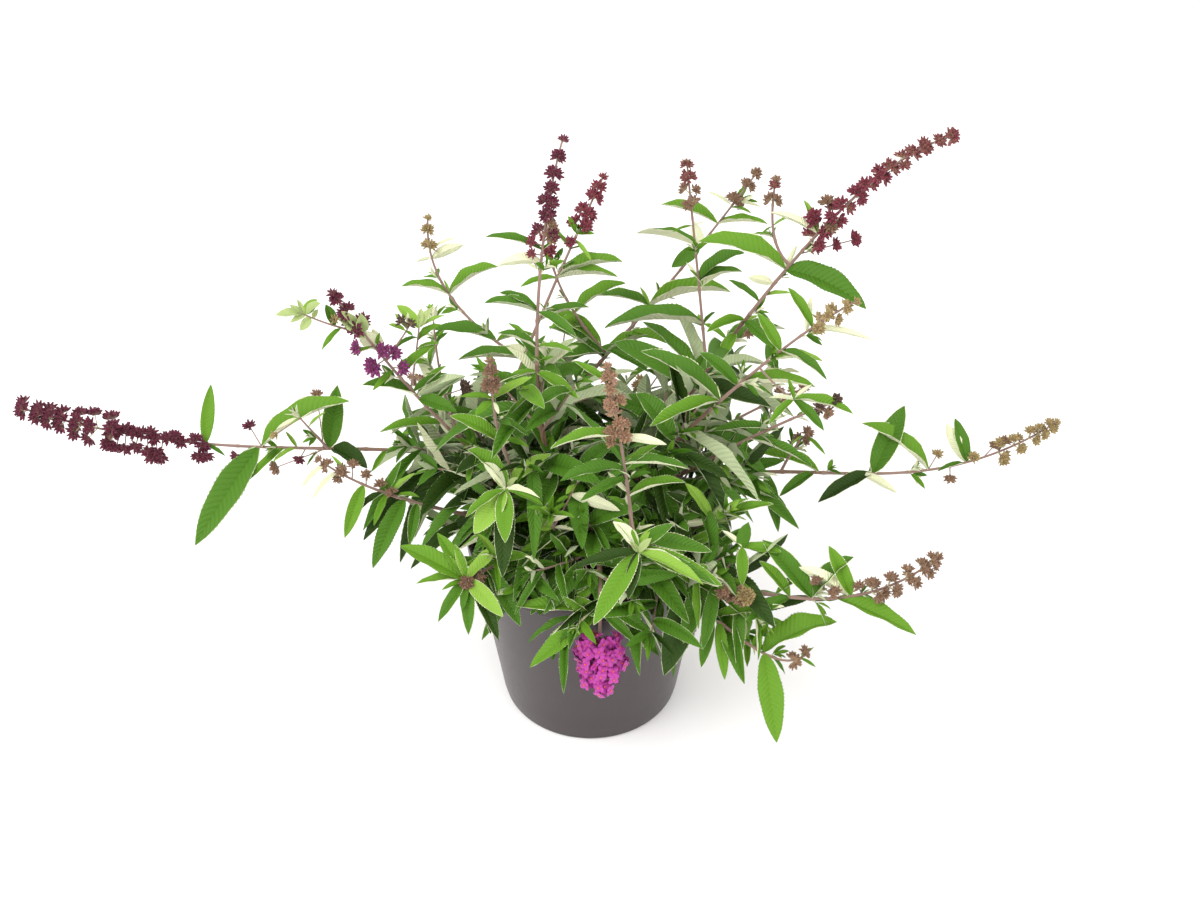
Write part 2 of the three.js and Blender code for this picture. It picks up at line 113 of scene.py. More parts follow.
# Every shoot runs from its foot to its tip on one bow, as in the part's own source:
# name, tier, foot heading, heading, reach, top, arch, sway, lift, pull, bare share, leaf length,
# pitch of the leaf pairs, spike length, tint of the spike, width of the spike's end.
Shoot = namedtuple("Shoot", "name tier foot heading reach top arch sway lift pull bare leaf pitch "
                            "spike tint blunt")
SHOOTS = [Shoot(*row) for row in (
    ("far_left", 0, 170, 173, 438, 236, 15, -48, 129, 62, 0.24, 84, 34, 122, "wine", 11),
    ("left_low", 0, 207, 180, 200, 227, -6, 2, 2, -23, 0.36, 62, 28, 20, "brown", 6),
    ("left_high", 1, 182, 185, 172, 380, -30, -8, -9, -5, 0.3, 72, 31, 84, "wine", 5),
    ("back_left", 1, 160, 85, 109, 402, -82, 72, 31, 35, 0.34, 76, 32, 40, "maroon", 6),
    ("tall_middle", 2, 135, 117, 38, 468, -40, 36, -65, 18, 0.34, 74, 33, 64, "wine", 5),
    ("back_right", 2, 58, 51, 202, 382, -47, 67, 99, 67, 0.32, 74, 32, 28, "brown", 6),
    ("right_high", 1, 20, 8, 243, 472, -37, 42, -97, 8, 0.3, 78, 32, 130, "maroon", 7),
    ("right_middle", 2, -6, -10, 179, 384, 6, 2, -16, 1, 0.34, 68, 30, 34, "olive", 6),
    ("right_small", 1, -15, 0, 177, 280, 18, -3, 0, -12, 0.38, 60, 27, 14, "dry", 5),
    ("far_right", 0, 5, 9, 365, 219, 25, 22, 160, 25, 0.28, 84, 34, 58, "olive", 8),
    ("low_right", 0, -12, -24, 262, 226, 4, -41, 51, -17, 0.38, 76, 33, 52, "brown", 8),
    ("front_right", 1, -30, -48, 158, 200, 0, 3, 0, -11, 0.42, 64, 28, 18, "brown", 9),
    ("hanging_right", 0, -74, -38, 195, 145, 33, -28, 70, -31, 0.42, 76, 27, 10, "brown", 4),
    ("leafy_right", 2, -45, -33, 112, 226, -13, 3, 0, -8, 0.34, 72, 25, 0, "brown", 5),
    ("front_middle", 2, -72, -82, 89, 371, -59, 19, 22, -28, 0.22, 74, 29, 54, "dusky", 6),
    ("leafy_front", 1, -116, -108, 84, 240, -14, -6, 0, -2, 0.34, 70, 25, 0, "brown", 5),
    ("fresh_flower", 0, -99, -87, 127, 110, 47, 4, -44, 0, 0.52, 52, 26, 50, "fresh", 9),
    ("front_left", 2, -126, -134, 92, 360, -27, -10, -4, -15, 0.24, 72, 30, 22, "brown", 5),
    ("low_left", 0, -138, -134, 126, 190, 4, 0, 0, 0, 0.42, 62, 22, 12, "brown", 8),
    ("rear_left", 0, 116, 134, 216, 194, 8, -7, 0, -7, 0.34, 78, 29, 40, "brown", 6),
    ("rear_mid_left", 0, 88, 108, 174, 190, 13, 0, 0, 1, 0.34, 76, 26, 34, "maroon", 6),
    ("rear_mid_right", 0, 74, 76, 172, 184, 13, -8, 0, 0, 0.34, 76, 26, 30, "olive", 6),
    ("rear_right", 0, 42, 38, 226, 194, 8, 8, 0, 0, 0.34, 78, 29, 40, "brown", 6),
)]

# Side shoots leave a main shoot, "fork" of the way along it.
Side = namedtuple("Side", "name fork heading reach top arch sway pull leaf pitch spike tint blunt")
SIDE_SHOOTS = [Side(*row) for row in (
    ("back_left", 0.56, 138, 161, 369, -8, 6, -21, 62, 28, 22, "olive", 5),
    ("left_high", 0.42, 160, 120, 322, -10, 4, 0, 52, 26, 0, "brown", 5),
    ("back_right", 0.48, 104, 134, 353, -1, 4, -12, 58, 27, 24, "maroon", 6),
    ("right_high", 0.36, 59, 138, 409, -21, -5, -8, 58, 28, 34, "brown", 6),
    ("right_high", 0.62, 33, 158, 412, -9, 5, -3, 44, 26, 15, "brown", 5),
    ("far_left", 0.49, 164, 235, 218, 2, 4, 0, 40, 24, 0, "brown", 5),
    ("far_right", 0.41, 14, 171, 220, 2, 4, 0, 40, 30, 10, "brown", 5),
    ("rear_mid_left", 0.5, 100, 132, 216, -2, 5, 0, 60, 27, 24, "brown", 5),
    ("rear_right", 0.5, 52, 156, 218, -2, 4, 0, 60, 27, 24, "brown", 5),
)]

# Past this share of its line a shoot's leaves stand where OPEN_LEAVES sets them.
OPEN_FROM = {
    "far_left": 0.3, "left_low": 0.42, "left_high": 0.44, "back_left": 0.42, "tall_middle": 0.44,
    "back_right": 0.42, "right_high": 0.42, "right_middle": 0.5, "right_small": 0.6,
    "far_right": 0.3, "low_right": 0.5, "hanging_right": 0.5, "low_left": 0.75, "front_left": 0.3,
    "front_middle": 0.3, "leafy_front": 0.5, "leafy_right": 0.5, "front_right": 0.6,
    "fresh_flower": 0.68, "back_left 0": 0, "left_high 1": 0,
    "back_right 2": 0, "right_high 3": 0.1, "right_high 4": 0.3, "far_left 5": 0, "far_right 6": 0,
}
# Length of the dense end of a spike whose lower knots stand apart, in millimetres.
DENSE = {"far_left": 72, "far_right": 50, "left_high": 32}

CAMERA = {"place": (0.0077, -0.874, 0.912), "tilt": 52.3, "sensor": 36}
# Places across and down a view of 1200 x 900 from the stage's camera: its middle and its lens.
VIEW = {"across": 600, "down": 450, "lens": 1500}

# Thin twigs of the open shoots: a name, the line each leaves, where it leaves it, where it ends,
# and how much nearer to the camera its end is, in millimetres.
OpenTwig = namedtuple("OpenTwig", "name line root_across root_down tip_across tip_down nearer")
OPEN_TWIGS = [OpenTwig(*row) for row in (
    ("left rosette", "left_high", 357, 338, 303, 314, 10),
    ("left tuft", "left_high", 417, 385, 419, 328, 14),
    ("left buds", "left_high", 388, 356, 408, 328, 8),
    ("right tuft", "right_middle", 762, 372, 794, 400, 20),
    ("low tuft", "front_right", 720, 572, 742, 547, 10),
    ("left hub", "front_left", 509, 472, 505, 490, 16),
    ("middle tuft", "leafy_front", 560, 525, 577, 482, 4),
    ("middle stem", "back_right", 577, 440, 566, 322, -6),
    ("centre tuft", "front_middle", 632, 505, 638, 552, 34),
)]

# Leaves of the open shoots by the line they grow from: where each leaves it, where its tip is, its
# width by that of the others, how much nearer its tip is, its droop, its age, and how it shows:
# 1 with its face to the camera, 0 level, -1 with its back to the camera.
OpenLeaf = namedtuple("OpenLeaf", "root_across root_down tip_across tip_down width nearer "
                                  "droop age show")
OPEN_LEAVES = {
    "far_left": (
        (206, 445, 210, 384, 0.85, 0, 0, 1.4, 0.9), (258, 450, 197, 547, 1.1, 15, 0.15, 1.1, 0.75),
        (262, 449, 350, 401, 0.95, 12, 0.3, 1.4, 0.35), (330, 447, 338, 385, 1.25, 6, 0, 1, 0.8),
        (332, 447, 368, 468, 1.5, 18, 0.2, 0.6, 0.45), (297, 450, 272, 463, 0.9, 8, 0.2, 3, 0.3),
        (285, 450, 248, 480, 0.8, 10, 0.2, 3, 0.3), (297, 450, 285, 431, 0.9, 5, 0, 3, 0.5),
        (206, 445, 226, 456, 0.8, 5, 0, 0.6, 0.3), (388, 452, 372, 472, 0.9, 10, 0.1, 2.4, 0.4),
        (392, 453, 418, 430, 0.9, 10, 0.2, 1.4, 0.3), (418, 455, 398, 433, 1, 5, 0.1, 1.6, 0.3),
        (466, 450, 438, 436, 1.2, 6, 0.2, 2.6, -0.8), (466, 450, 486, 437, 1, 4, 0.2, 0.8, 0.4),
    ),
    "far_left 5": (
        (300, 417, 290, 425, 0.9, 3, 0, 3, 0.3), (300, 417, 276, 430, 0.9, 3, 0, 3, -0.3),
        (312, 424, 326, 412, 0.9, 3, 0, 2.6, 0.3),
    ),
    "left_low": (
        (337, 476, 312, 500, 0.9, 10, 0.2, 2.9, -0.3),
        (325, 466, 302, 488, 0.9, 10, 0.2, 2.9, -0.3), (362, 487, 344, 538, 1, 12, 0.1, 2, 0.8),
        (384, 495, 350, 518, 1, 10, 0.2, 0.7, 0.4), (386, 497, 374, 526, 0.9, 10, 0.2, 2.6, 0.5),
        (404, 500, 372, 568, 1.1, 15, 0.2, 0.8, 0.7), (418, 501, 410, 545, 1, 15, 0.2, 1.2, 0.7),
        (390, 497, 416, 474, 0.9, 5, 0.1, 2.6, 0.2), (386, 495, 401, 460, 0.9, 0, 0, 0.8, 0.6),
        (395, 500, 420, 497, 0.9, 10, 0.2, 1.4, 0.2), (345, 480, 330, 455, 0.9, 0, 0, 2.8, 0.2),
    ),
    "left_high": (
        (417, 396, 362, 385, 1, 10, 0.25, 1.4, 0.2), (428, 410, 463, 375, 1, 10, 0.3, 1, 0.2),
        (418, 397, 447, 366, 0.8, 5, 0.2, 2, 0.2), (404, 376, 436, 345, 0.9, 5, 0.2, 2.2, 0.2),
        (396, 368, 372, 391, 0.9, 8, 0.1, 1.6, 0.5), (375, 347, 352, 356, 0.9, 8, 0.1, 2.2, 0.2),
        (357, 343, 338, 318, 1.6, 20, 0.1, 4, 0.7), (357, 337, 360, 313, 1.5, 20, 0, 4, 0.7),
        (352, 336, 341, 312, 1.2, 20, 0, 4, 0.7), (374, 353, 361, 332, 2.3, 10, 0.1, 3, -0.7),
        (391, 351, 372, 329, 0.9, 4, 0.35, 3, -0.5), (374, 350, 380, 332, 0.9, 2, 0.1, 2, 0.5),
        (424, 394, 457, 412, 1.3, 10, 0.15, 0.7, 0.7),
        (424, 388, 465, 375, 0.95, 4, 0.2, 0.3, -0.6), (424, 383, 448, 374, 0.9, 0, 0.2, 0.6, 0.3),
        (432, 396, 452, 384, 1.6, 4, 0.1, 1.6, 0.8),
    ),
    "back_left 0": (
        (521, 369, 458, 361, 1, 10, 0.25, 1.3, 0.2), (521, 369, 548, 384, 0.9, 10, 0.2, 1, 0.3),
        (497, 341, 434, 329, 1, 8, 0.25, 1.6, 0.2), (497, 341, 536, 336, 0.9, 0, 0.3, 1.2, 0.2),
        (452, 294, 401, 286, 1, 5, 0.3, 1.7, 0.2), (452, 294, 499, 268, 1, 5, 0.35, 2, 0.2),
        (452, 294, 444, 279, 0.8, 0, 0, 3, 0.2), (433, 258, 463, 244, 1.2, 0, 0.2, 3, -0.8),
        (433, 258, 416, 262, 1, 4, 0.1, 3, -0.5), (431, 250, 457, 238, 0.6, 0, 0.1, 2, 0),
    ),
    "tall_middle": (
        (542, 400, 498, 372, 0.8, 4, 0.2, 1.2, 0.1), (541, 373, 578, 400, 1, 14, 0.2, 1.2, 0.5),
        (541, 373, 503, 383, 1, 10, 0.2, 2, 0.2), (540, 349, 497, 333, 1, 6, 0.25, 1.4, 0.2),
        (540, 349, 574, 352, 1, 8, 0.2, 1.8, 0.3), (540, 312, 499, 293, 1, 4, 0.25, 1.6, 0.2),
        (540, 312, 484, 304, 1, 12, 0.25, 1.2, 0.2), (541, 312, 577, 337, 1, 14, 0.15, 1.6, 0.5),
        (541, 262, 497, 266, 1.1, 4, 0.35, 2.6, -0.5), (541, 250, 485, 237, 0.7, 0, 0.25, 1.4, 0.1),
        (541, 250, 560, 238, 0.8, 0, 0.1, 2, 0.1), (543, 434, 562, 419, 0.9, 2, 0.1, 0.8, 0.4),
        (541, 432, 545, 421, 1.2, 0, 0, 3, -0.4), (541, 451, 554, 436, 2, 6, 0.1, 1.7, 0.8),
    ),
    "back_left": (
        (521, 371, 566, 362, 1, 6, 0.3, 1.4, 0.2), (530, 345, 508, 323, 0.9, 0, 0.2, 1.2, 0.3),
        (539, 321, 590, 308, 0.9, 0, 0.3, 1.2, 0.2), (558, 278, 623, 262, 1, 4, 0.3, 1.4, 0.1),
        (558, 278, 618, 277, 0.9, 10, 0.25, 2.2, 0.2), (558, 278, 520, 287, 0.9, 6, 0.2, 1.4, 0.2),
        (570, 250, 584, 246, 0.8, 0, 0, 2.4, 0.2), (570, 250, 545, 224, 0.8, 0, 0.1, 1.6, 0.2),
        (576, 240, 592, 262, 0.7, 4, 0.1, 2.6, 0.4),
    ),
    "back_right 2": (
        (600, 348, 649, 372, 1, 10, 0.25, 1, 0.4), (600, 348, 553, 309, 1, 0, 0.2, 1.6, 0.3),
        (578, 312, 626, 283, 1, 4, 0.3, 1.6, 0.2), (578, 315, 549, 330, 1, 6, 0.2, 1.8, 0.3),
    ),
    "back_right": (
        (608, 354, 523, 369, 0.9, 12, 0.2, 1.2, 0.1), (602, 358, 548, 327, 1, 4, 0.25, 1.6, 0.2),
        (602, 358, 653, 334, 1, 4, 0.3, 2, 0.1), (625, 335, 691, 350, 0.9, 14, 0.2, 1.2, 0.3),
        (651, 309, 597, 296, 1, -24, 0.25, 1.4, 0.2), (651, 309, 731, 292, 0.95, 8, 0.35, 1.2, 0.1),
        (651, 309, 640, 286, 0.8, 0, 0, 3, 0.2), (697, 247, 635, 234, 0.9, -26, 0.25, 1.3, 0.1),
        (697, 247, 671, 267, 1.4, 12, 0, 1.4, 0.9), (697, 247, 694, 220, 1, -30, 0, 3, -0.6),
        (707, 216, 768, 225, 0.9, 8, 0.25, 1.3, 0.2), (707, 216, 660, 205, 0.8, -37, 0.2, 1.5, 0.1),
        (723, 202, 752, 214, 0.8, 8, 0.2, 2.4, 0.1), (725, 200, 707, 192, 0.7, 0, 0.1, 3, -0.2),
    ),
    "right_high 3": (
        (705, 324, 604, 328, 0.9, 12, 0.3, 1.4, 0.1), (705, 324, 728, 340, 1, 8, 0.1, 2.4, 0.4),
        (700, 282, 743, 272, 1, 4, 0.3, 1.6, 0.3), (700, 280, 745, 253, 1, 0, 0.35, 1.2, 0.3),
        (699, 280, 686, 262, 0.8, 0, 0, 2.6, -0.2), (690, 226, 706, 222, 0.7, 2, 0.1, 2.8, -0.2),
        (690, 226, 672, 232, 0.7, 2, 0.1, 2.8, 0.2),
    ),
    "right_high": (
        (783, 268, 698, 243, 1.05, 6, 0.3, 1.2, 0.35),
        (783, 268, 867, 308, 1.15, 16, 0.35, 1.3, 0.5), (783, 266, 797, 244, 0.8, 0, 0, 3, -0.4),
        (814, 230, 769, 213, 0.6, 2, 0.3, 3, -0.4), (814, 230, 804, 200, 0.9, 0, 0.1, 2.6, 0.3),
        (772, 284, 748, 277, 1.3, 6, 0.1, 3, -0.7), (757, 302, 728, 280, 0.9, 0, 0.1, 1.4, 0.3),
        (762, 294, 792, 293, 0.9, 4, 0.1, 2.6, 0.3), (745, 322, 780, 352, 1.1, 18, 0.1, 1.2, 0.8),
        (745, 322, 706, 332, 1.1, 12, 0.3, 0.8, 0.3), (737, 333, 718, 362, 1.2, 14, 0.1, 1, 0.8),
        (737, 333, 760, 316, 0.9, 0, 0.2, 2.2, 0.2),
    ),
    "right_high 4": (
        (775, 226, 792, 216, 0.7, 0, 0.1, 2.6, 0.1), (775, 226, 760, 236, 0.7, 4, 0.1, 2, 0.3),
    ),
    "right_middle": (
        (812, 328, 874, 341, 0.5, 8, 0.2, 3, -0.4), (812, 328, 787, 288, 0.9, 0, 0.15, 1.6, 0.4),
        (806, 331, 811, 296, 0.8, 0, 0, 2.6, -0.3), (781, 350, 827, 380, 1, 14, 0.25, 1.6, 0.3),
        (781, 350, 757, 313, 1.1, 0, 0.1, 1.8, 0.6), (766, 363, 823, 362, 0.9, 8, 0.3, 2.4, 0.1),
        (740, 388, 816, 387, 0.95, 8, 0.25, 1.4, 0.1), (740, 388, 700, 352, 1, 0, 0.2, 0.8, 0.5),
        (721, 404, 640, 352, 1, 0, 0.2, 1, 0.3), (721, 404, 650, 428, 1, 14, 0.2, 1.4, 0.2),
        (716, 466, 668, 443, 0.95, 6, 0.35, 0.5, 0.4),
    ),
    "right tuft": (
        (794, 400, 853, 415, 1, 8, 0.25, 1.8, 0.2), (794, 400, 824, 431, 1, 12, 0.2, 1.4, 0.5),
        (794, 400, 770, 425, 1, 12, 0.2, 1.6, 0.5), (794, 400, 768, 398, 0.9, 8, 0.1, 2.8, -0.2),
        (794, 400, 788, 378, 0.9, 0, 0, 3, 0.2), (794, 400, 812, 384, 0.9, 0, 0, 3, -0.3),
    ),
    "far_right": (
        (874, 473, 906, 406, 1.15, 4, 0.1, 1.2, 0.9),
        (874, 474, 818, 503, 1.05, 14, 0.15, 0.6, 0.4), (872, 474, 890, 453, 0.8, 0, 0, 2.6, 0.2),
        (862, 474, 897, 492, 0.9, 14, 0.15, 3, -0.6), (927, 471, 862, 422, 0.9, 4, 0.25, 1.6, 0.2),
        (968, 464, 955, 418, 1.1, 0, 0.05, 1.6, 0.6), (968, 464, 945, 424, 1.1, 2, 0.1, 3, -0.8),
        (965, 464, 937, 472, 0.9, 4, 0.1, 1.2, 0.2), (820, 473, 760, 452, 0.9, 6, 0.25, 1.6, 0.2),
        (815, 473, 780, 497, 1, 12, 0.2, 1.2, 0.4), (702, 476, 724, 512, 0.8, 6, 0.1, 0.4, 0.6),
        (712, 478, 760, 501, 0.8, 8, 0.1, 0.5, 0.5), (735, 480, 800, 528, 0.7, 10, 0.15, 0.6, 0.6),
        (766, 500, 779, 532, 0.9, 10, 0.1, 0.9, 0.7), (737, 480, 784, 460, 1.05, 6, 0.15, 1.5, 0.7),
    ),
    "far_right 6": (
        (807, 438, 826, 455, 0.8, 4, 0.1, 2, 0.3), (807, 438, 790, 446, 0.8, 4, 0.1, 2.6, 0.2),
    ),
    "low_right": (
        (838, 601, 917, 634, 0.95, 14, 0.15, 1.7, 0.4), (852, 598, 828, 546, 1.1, 0, 0.1, 2, 0.6),
        (850, 598, 800, 566, 0.9, 4, 0.2, 3, -0.5), (813, 600, 762, 540, 0.95, 0, 0.15, 1.4, 0.4),
        (813, 600, 853, 556, 1, 4, 0.3, 0.7, 0.2), (790, 595, 760, 560, 0.9, 4, 0.2, 1.6, 0.4),
        (790, 595, 745, 622, 1, 12, 0.2, 1.4, 0.5), (776, 594, 815, 575, 0.9, 4, 0.3, 2.2, 0.2),
    ),
    "low_left": (
        (467, 580, 416, 584, 1, 4, 0.15, 2.4, 0.4), (467, 580, 437, 533, 1, 0, 0.1, 2.3, 0.6),
        (467, 580, 455, 544, 0.9, 0, 0.1, 2.8, 0.6), (467, 580, 507, 543, 1.05, 0, 0.15, 2.3, 0.6),
        (467, 580, 504, 616, 1.15, 14, 0.1, 2.5, 0.8), (467, 580, 462, 612, 0.9, 12, 0.1, 1, 0.7),
        (467, 580, 441, 590, 0.9, 8, 0.1, 2, 0.5), (463, 588, 438, 622, 1, 10, 0.1, 1.2, 0.7),
        (472, 588, 469, 635, 1, 12, 0.1, 1, 0.8), (455, 570, 400, 545, 1, 4, 0.15, 2.4, 0.5),
        (478, 590, 500, 640, 0.9, 12, 0.1, 0.6, 0.7), (490, 572, 522, 626, 1, 8, 0.1, 0.4, 0.7),
        (486, 570, 492, 634, 1, 10, 0.1, 0.7, 0.8),
    ),
    "leafy_front": (
        (548, 585, 505, 628, 1, 14, 0.1, 0.8, 0.7), (545, 590, 540, 641, 1, 14, 0.1, 0.5, 0.8),
        (560, 585, 574, 632, 1, 14, 0.1, 0.8, 0.8), (540, 580, 497, 598, 1, 10, 0.1, 0.6, 0.5),
        (575, 570, 545, 600, 1, 12, 0.1, 1, 0.6), (552, 528, 528, 523, 1.8, 6, 0.1, 2.8, 0.8),
        (551, 520, 549, 503, 1.2, 0, 0, 2.4, 0.2), (554, 522, 569, 516, 1.1, 4, 0.2, 2.6, -0.3),
        (563, 533, 530, 552, 1, 10, 0.1, 1, 0.5), (556, 527, 575, 530, 1, 4, 0.1, 2.5, -0.4),
        (552, 560, 511, 581, 1, 14, 0.15, 2.2, 0.6), (574, 527, 609, 514, 0.7, 4, 0.1, 2, -0.3),
    ),
    "fresh_flower": (
        (570, 608, 516, 607, 0.9, 8, 0.1, 1.8, 0.5), (575, 610, 529, 667, 0.95, 10, 0.1, 1.4, 0.8),
        (605, 600, 651, 636, 0.95, 10, 0.1, 1, 0.7), (603, 610, 636, 643, 0.9, 10, 0.1, 0.8, 0.7),
        (590, 605, 560, 640, 0.9, 10, 0.1, 0.8, 0.7),
        (604, 525, 650, 521, 0.9, 10, 0.35, 2.6, -0.7), (600, 522, 580, 536, 1.2, 8, 0.1, 1.6, 0.5),
        (618, 535, 612, 560, 0.9, 6, 0, 1.2, 0.8), (590, 535, 588, 556, 1, 6, 0, 1, 0.8),
        (567, 573, 557, 598, 1.3, 6, 0.1, 1.3, 0.8), (579, 573, 575, 602, 1.5, 6, 0.1, 1.7, 0.8),
        (590, 575, 598, 610, 1.3, 6, 0.1, 1, 0.8), (545, 575, 550, 592, 1.5, 4, 0.1, 0.8, 0.8),
    ),
    "front_right": (
        (700, 585, 685, 644, 1.3, 10, 0.1, 1, 0.8), (712, 590, 704, 650, 0.9, 10, 0.1, 1, 0.8),
        (690, 590, 664, 676, 1.2, 10, 0.1, 0.4, 0.8), (728, 600, 668, 565, 0.5, 4, 0.1, 2.6, -0.5),
    ),
    "low tuft": (
        (742, 547, 742, 586, 1.3, 8, 0.1, 1.8, 0.7), (742, 547, 722, 530, 0.9, 0, 0.1, 2.8, -0.4),
        (742, 547, 768, 556, 0.9, 4, 0.2, 1.4, 0.2), (741, 549, 749, 522, 1.8, 3, 0.05, 1.9, 0.8),
        (747, 548, 782, 553, 1.2, 4, 0.1, 2.2, 0.6),
    ),
    "hanging_right": (
        (763, 655, 777, 743, 1.15, 16, 0.05, 2.2, 0.85),
        (763, 652, 837, 622, 1.15, 10, 0.35, 2, 0.4), (751, 648, 770, 622, 0.9, 4, 0.1, 2.4, 0.3),
        (800, 658, 816, 667, 0.9, 4, 0.1, 1.8, 0.4), (800, 658, 814, 647, 0.9, 0, 0, 2.4, 0.2),
        (712, 616, 702, 668, 1, 12, 0.1, 1.8, 0.8), (718, 622, 726, 680, 0.9, 12, 0.1, 1.4, 0.8),
        (716, 618, 760, 612, 1, 10, 0.3, 2, 0.3),
    ),
    "left rosette": (
        (301, 318, 275, 315, 1.5, 3, 0.1, 4, 0.5), (303, 316, 297, 299, 1.3, 3, 0, 4, 0.5),
        (305, 315, 317, 299, 1.9, 0, 0.2, 2.8, 0.8), (306, 315, 321, 303, 1.6, 8, 0.2, 4, 0.5),
        (309, 322, 300, 331, 2, 5, 0.1, 4, 0.8), (301, 315, 289, 305, 1.4, 5, 0, 4, 0.6),
        (340, 334, 322, 351, 1, 6, 0.2, 1.6, 0.5), (335, 327, 326, 304, 1.6, 4, 0.1, 1.2, 0.7),
        (312, 320, 318, 309, 1.8, 4, 0, 4, 0.8), (304, 320, 290, 323, 1.5, 5, 0.1, 4, 0.7),
    ),
    "left tuft": (
        (418, 341, 441, 324, 1.4, 3, 0.15, 2.4, 0.5), (417, 328, 397, 305, 1.3, 0, 0.2, 2.6, 0.5),
        (418, 327, 422, 308, 1.4, 0, 0, 4, 0.7), (420, 325, 431, 307, 1.2, 0, 0, 4, 0.6),
        (424, 323, 446, 315, 0.8, 0, 0.1, 2.4, 0.3), (416, 337, 392, 351, 0.9, 4, 0.3, 1.6, 0.3),
        (418, 350, 440, 343, 1, 4, 0.1, 2, 0.2),
    ),
    "left buds": (
        (404, 330, 388, 324, 1.2, 3, 0.1, 2.2, 0.4), (403, 327, 395, 313, 1.2, 0, 0, 2.4, 0.4),
        (405, 331, 413, 336, 1.4, 4, 0.1, 2, 0.5), (403, 325, 408, 312, 1, 0, 0, 2.8, -0.3),
    ),
    "front_left": (
        (487, 384, 476, 355, 0.8, 2, 0, 2.6, 0.6), (496, 399, 533, 378, 0.8, 6, 0.15, 2.6, 0.6),
        (488, 399, 459, 397, 0.85, 4, 0.2, 2.5, 0.5), (492, 388, 521, 374, 0.6, 0, 0.2, 1.4, 0.2),
        (498, 401, 499, 414, 1.2, 4, 0, 2, -0.5), (484, 403, 474, 416, 1.6, 4, 0.1, 1.8, 0.7),
        (501, 441, 450, 415, 0.9, 12, 0.25, 1.7, 0.6), (503, 439, 529, 448, 1.1, 8, 0.2, 1.6, 0.4),
        (500, 417, 529, 436, 1, -6, 0.2, 0.6, 0.4),
    ),
    "left hub": (
        (502, 486, 468, 449, 1, 10, 0.35, 1.8, 0.3), (510, 480, 552, 455, 1.05, 6, 0.1, 2.2, 0.7),
        (508, 495, 466, 518, 1, 12, 0.25, 1.6, 0.4), (514, 495, 543, 505, 1, 8, 0.2, 1.8, 0.4),
        (517, 498, 504, 543, 1.35, 16, 0.1, 1.3, 0.85),
        (526, 515, 503, 578, 0.95, 6, 0.1, 0.3, 0.8), (487, 513, 474, 534, 1.8, 10, 0.1, 2.6, 0.8),
        (505, 490, 484, 462, 0.9, 12, 0.3, 3, -0.3), (506, 488, 494, 478, 1.6, 6, 0, 4, 0.7),
        (506, 488, 518, 477, 1.5, 6, 0, 4, 0.7), (510, 492, 540, 498, 0.9, 10, 0.3, 3, -0.3),
    ),
    "middle tuft": (
        (577, 484, 566, 495, 1.6, 5, 0.1, 2.4, 0.5), (577, 484, 569, 477, 1.4, 0, 0, 3, -0.4),
        (577, 484, 586, 476, 1.4, 0, 0, 3, -0.4), (576, 500, 556, 503, 1.2, 4, 0.2, 2, 0.3),
        (573, 507, 549, 516, 1, 4, 0.2, 2.4, 0.3), (580, 499, 620, 512, 0.9, 6, 0.1, 1.5, -0.7),
    ),
    "front_middle": (
        (628, 470, 560, 482, 0.95, 14, 0.35, 1.6, 0.45),
        (606, 440, 550, 449, 0.9, 8, 0.35, 1.7, 0.35),
        (627, 478, 581, 502, 0.85, 12, 0.2, 1.3, 0.5), (632, 492, 607, 472, 0.6, 4, 0.1, 2.5, -0.6),
        (622, 438, 667, 446, 0.8, 8, 0.2, 2.6, -0.5), (629, 469, 660, 444, 0.9, 4, 0.2, 1.8, 0.4),
        (633, 463, 690, 470, 0.85, 8, 0.25, 1.2, 0.3), (630, 480, 652, 472, 1, 6, 0.2, 1.6, 0.4),
        (632, 497, 686, 484, 0.8, 8, 0.35, 2, 0.15), (602, 386, 574, 360, 0.75, -4, 0.05, 2.6, 0.6),
    ),
    "middle stem": (
        (571, 413, 503, 412, 1, 4, 0.25, 0.7, 0.45), (576, 400, 546, 372, 0.8, 0, 0.3, 0.9, 0.25),
        (574, 400, 597, 398, 0.9, 2, 0.2, 0.9, 0.3), (572, 386, 593, 387, 0.8, 2, 0.2, 0.9, 0.3),
        (568, 391, 521, 400, 0.9, 2, 0.15, 0.3, -0.8),
    ),
    "centre tuft": (
        (635, 553, 611, 519, 0.9, 0, 0.3, 2.2, 0.2), (643, 548, 651, 528, 1.1, 2, 0, 2.8, 0.7),
        (645, 546, 673, 523, 1.15, 6, 0.1, 1.9, 0.8),
        (643, 557, 703, 586, 0.8, 14, 0.25, 2.2, 0.35), (657, 550, 716, 587, 0.7, 4, 0.2, 0.5, 0.5),
        (660, 543, 722, 588, 0.85, 2, 0.1, 1.5, 0.7), (664, 531, 712, 553, 0.85, -4, 0.1, 0.5, 0.6),
        (660, 562, 628, 600, 1.1, 10, 0.1, 0.6, 0.8), (637, 560, 575, 566, 0.8, 14, 0.1, 0.3, 0.5),
        (636, 560, 594, 626, 1, 16, 0.1, 1.9, 0.8), (637, 553, 614, 521, 1.1, 4, 0.3, 3, -0.3),
        (641, 556, 686, 567, 0.9, 8, 0.2, 3, -0.3), (639, 553, 630, 541, 1.6, 4, 0, 4, 0.7),
        (640, 553, 652, 538, 1.4, 6, 0, 4, 0.7),
    ),
    "leafy_right": (
        (716, 528, 684, 484, 0.75, 4, 0.3, 2.4, 0.6), (717, 531, 735, 501, 0.7, 0, 0, 3, -0.6),
        (719, 528, 774, 504, 0.65, 4, 0.25, 2.4, 0.5), (719, 534, 747, 513, 1, 8, 0.1, 1, 0.5),
        (716, 537, 674, 525, 0.8, 10, 0.1, 1.6, -0.7),
        (714, 525, 665, 492, 0.85, -2, 0.1, 0.6, 0.5), (697, 523, 660, 509, 0.95, 6, 0.1, 1.2, 0.5),
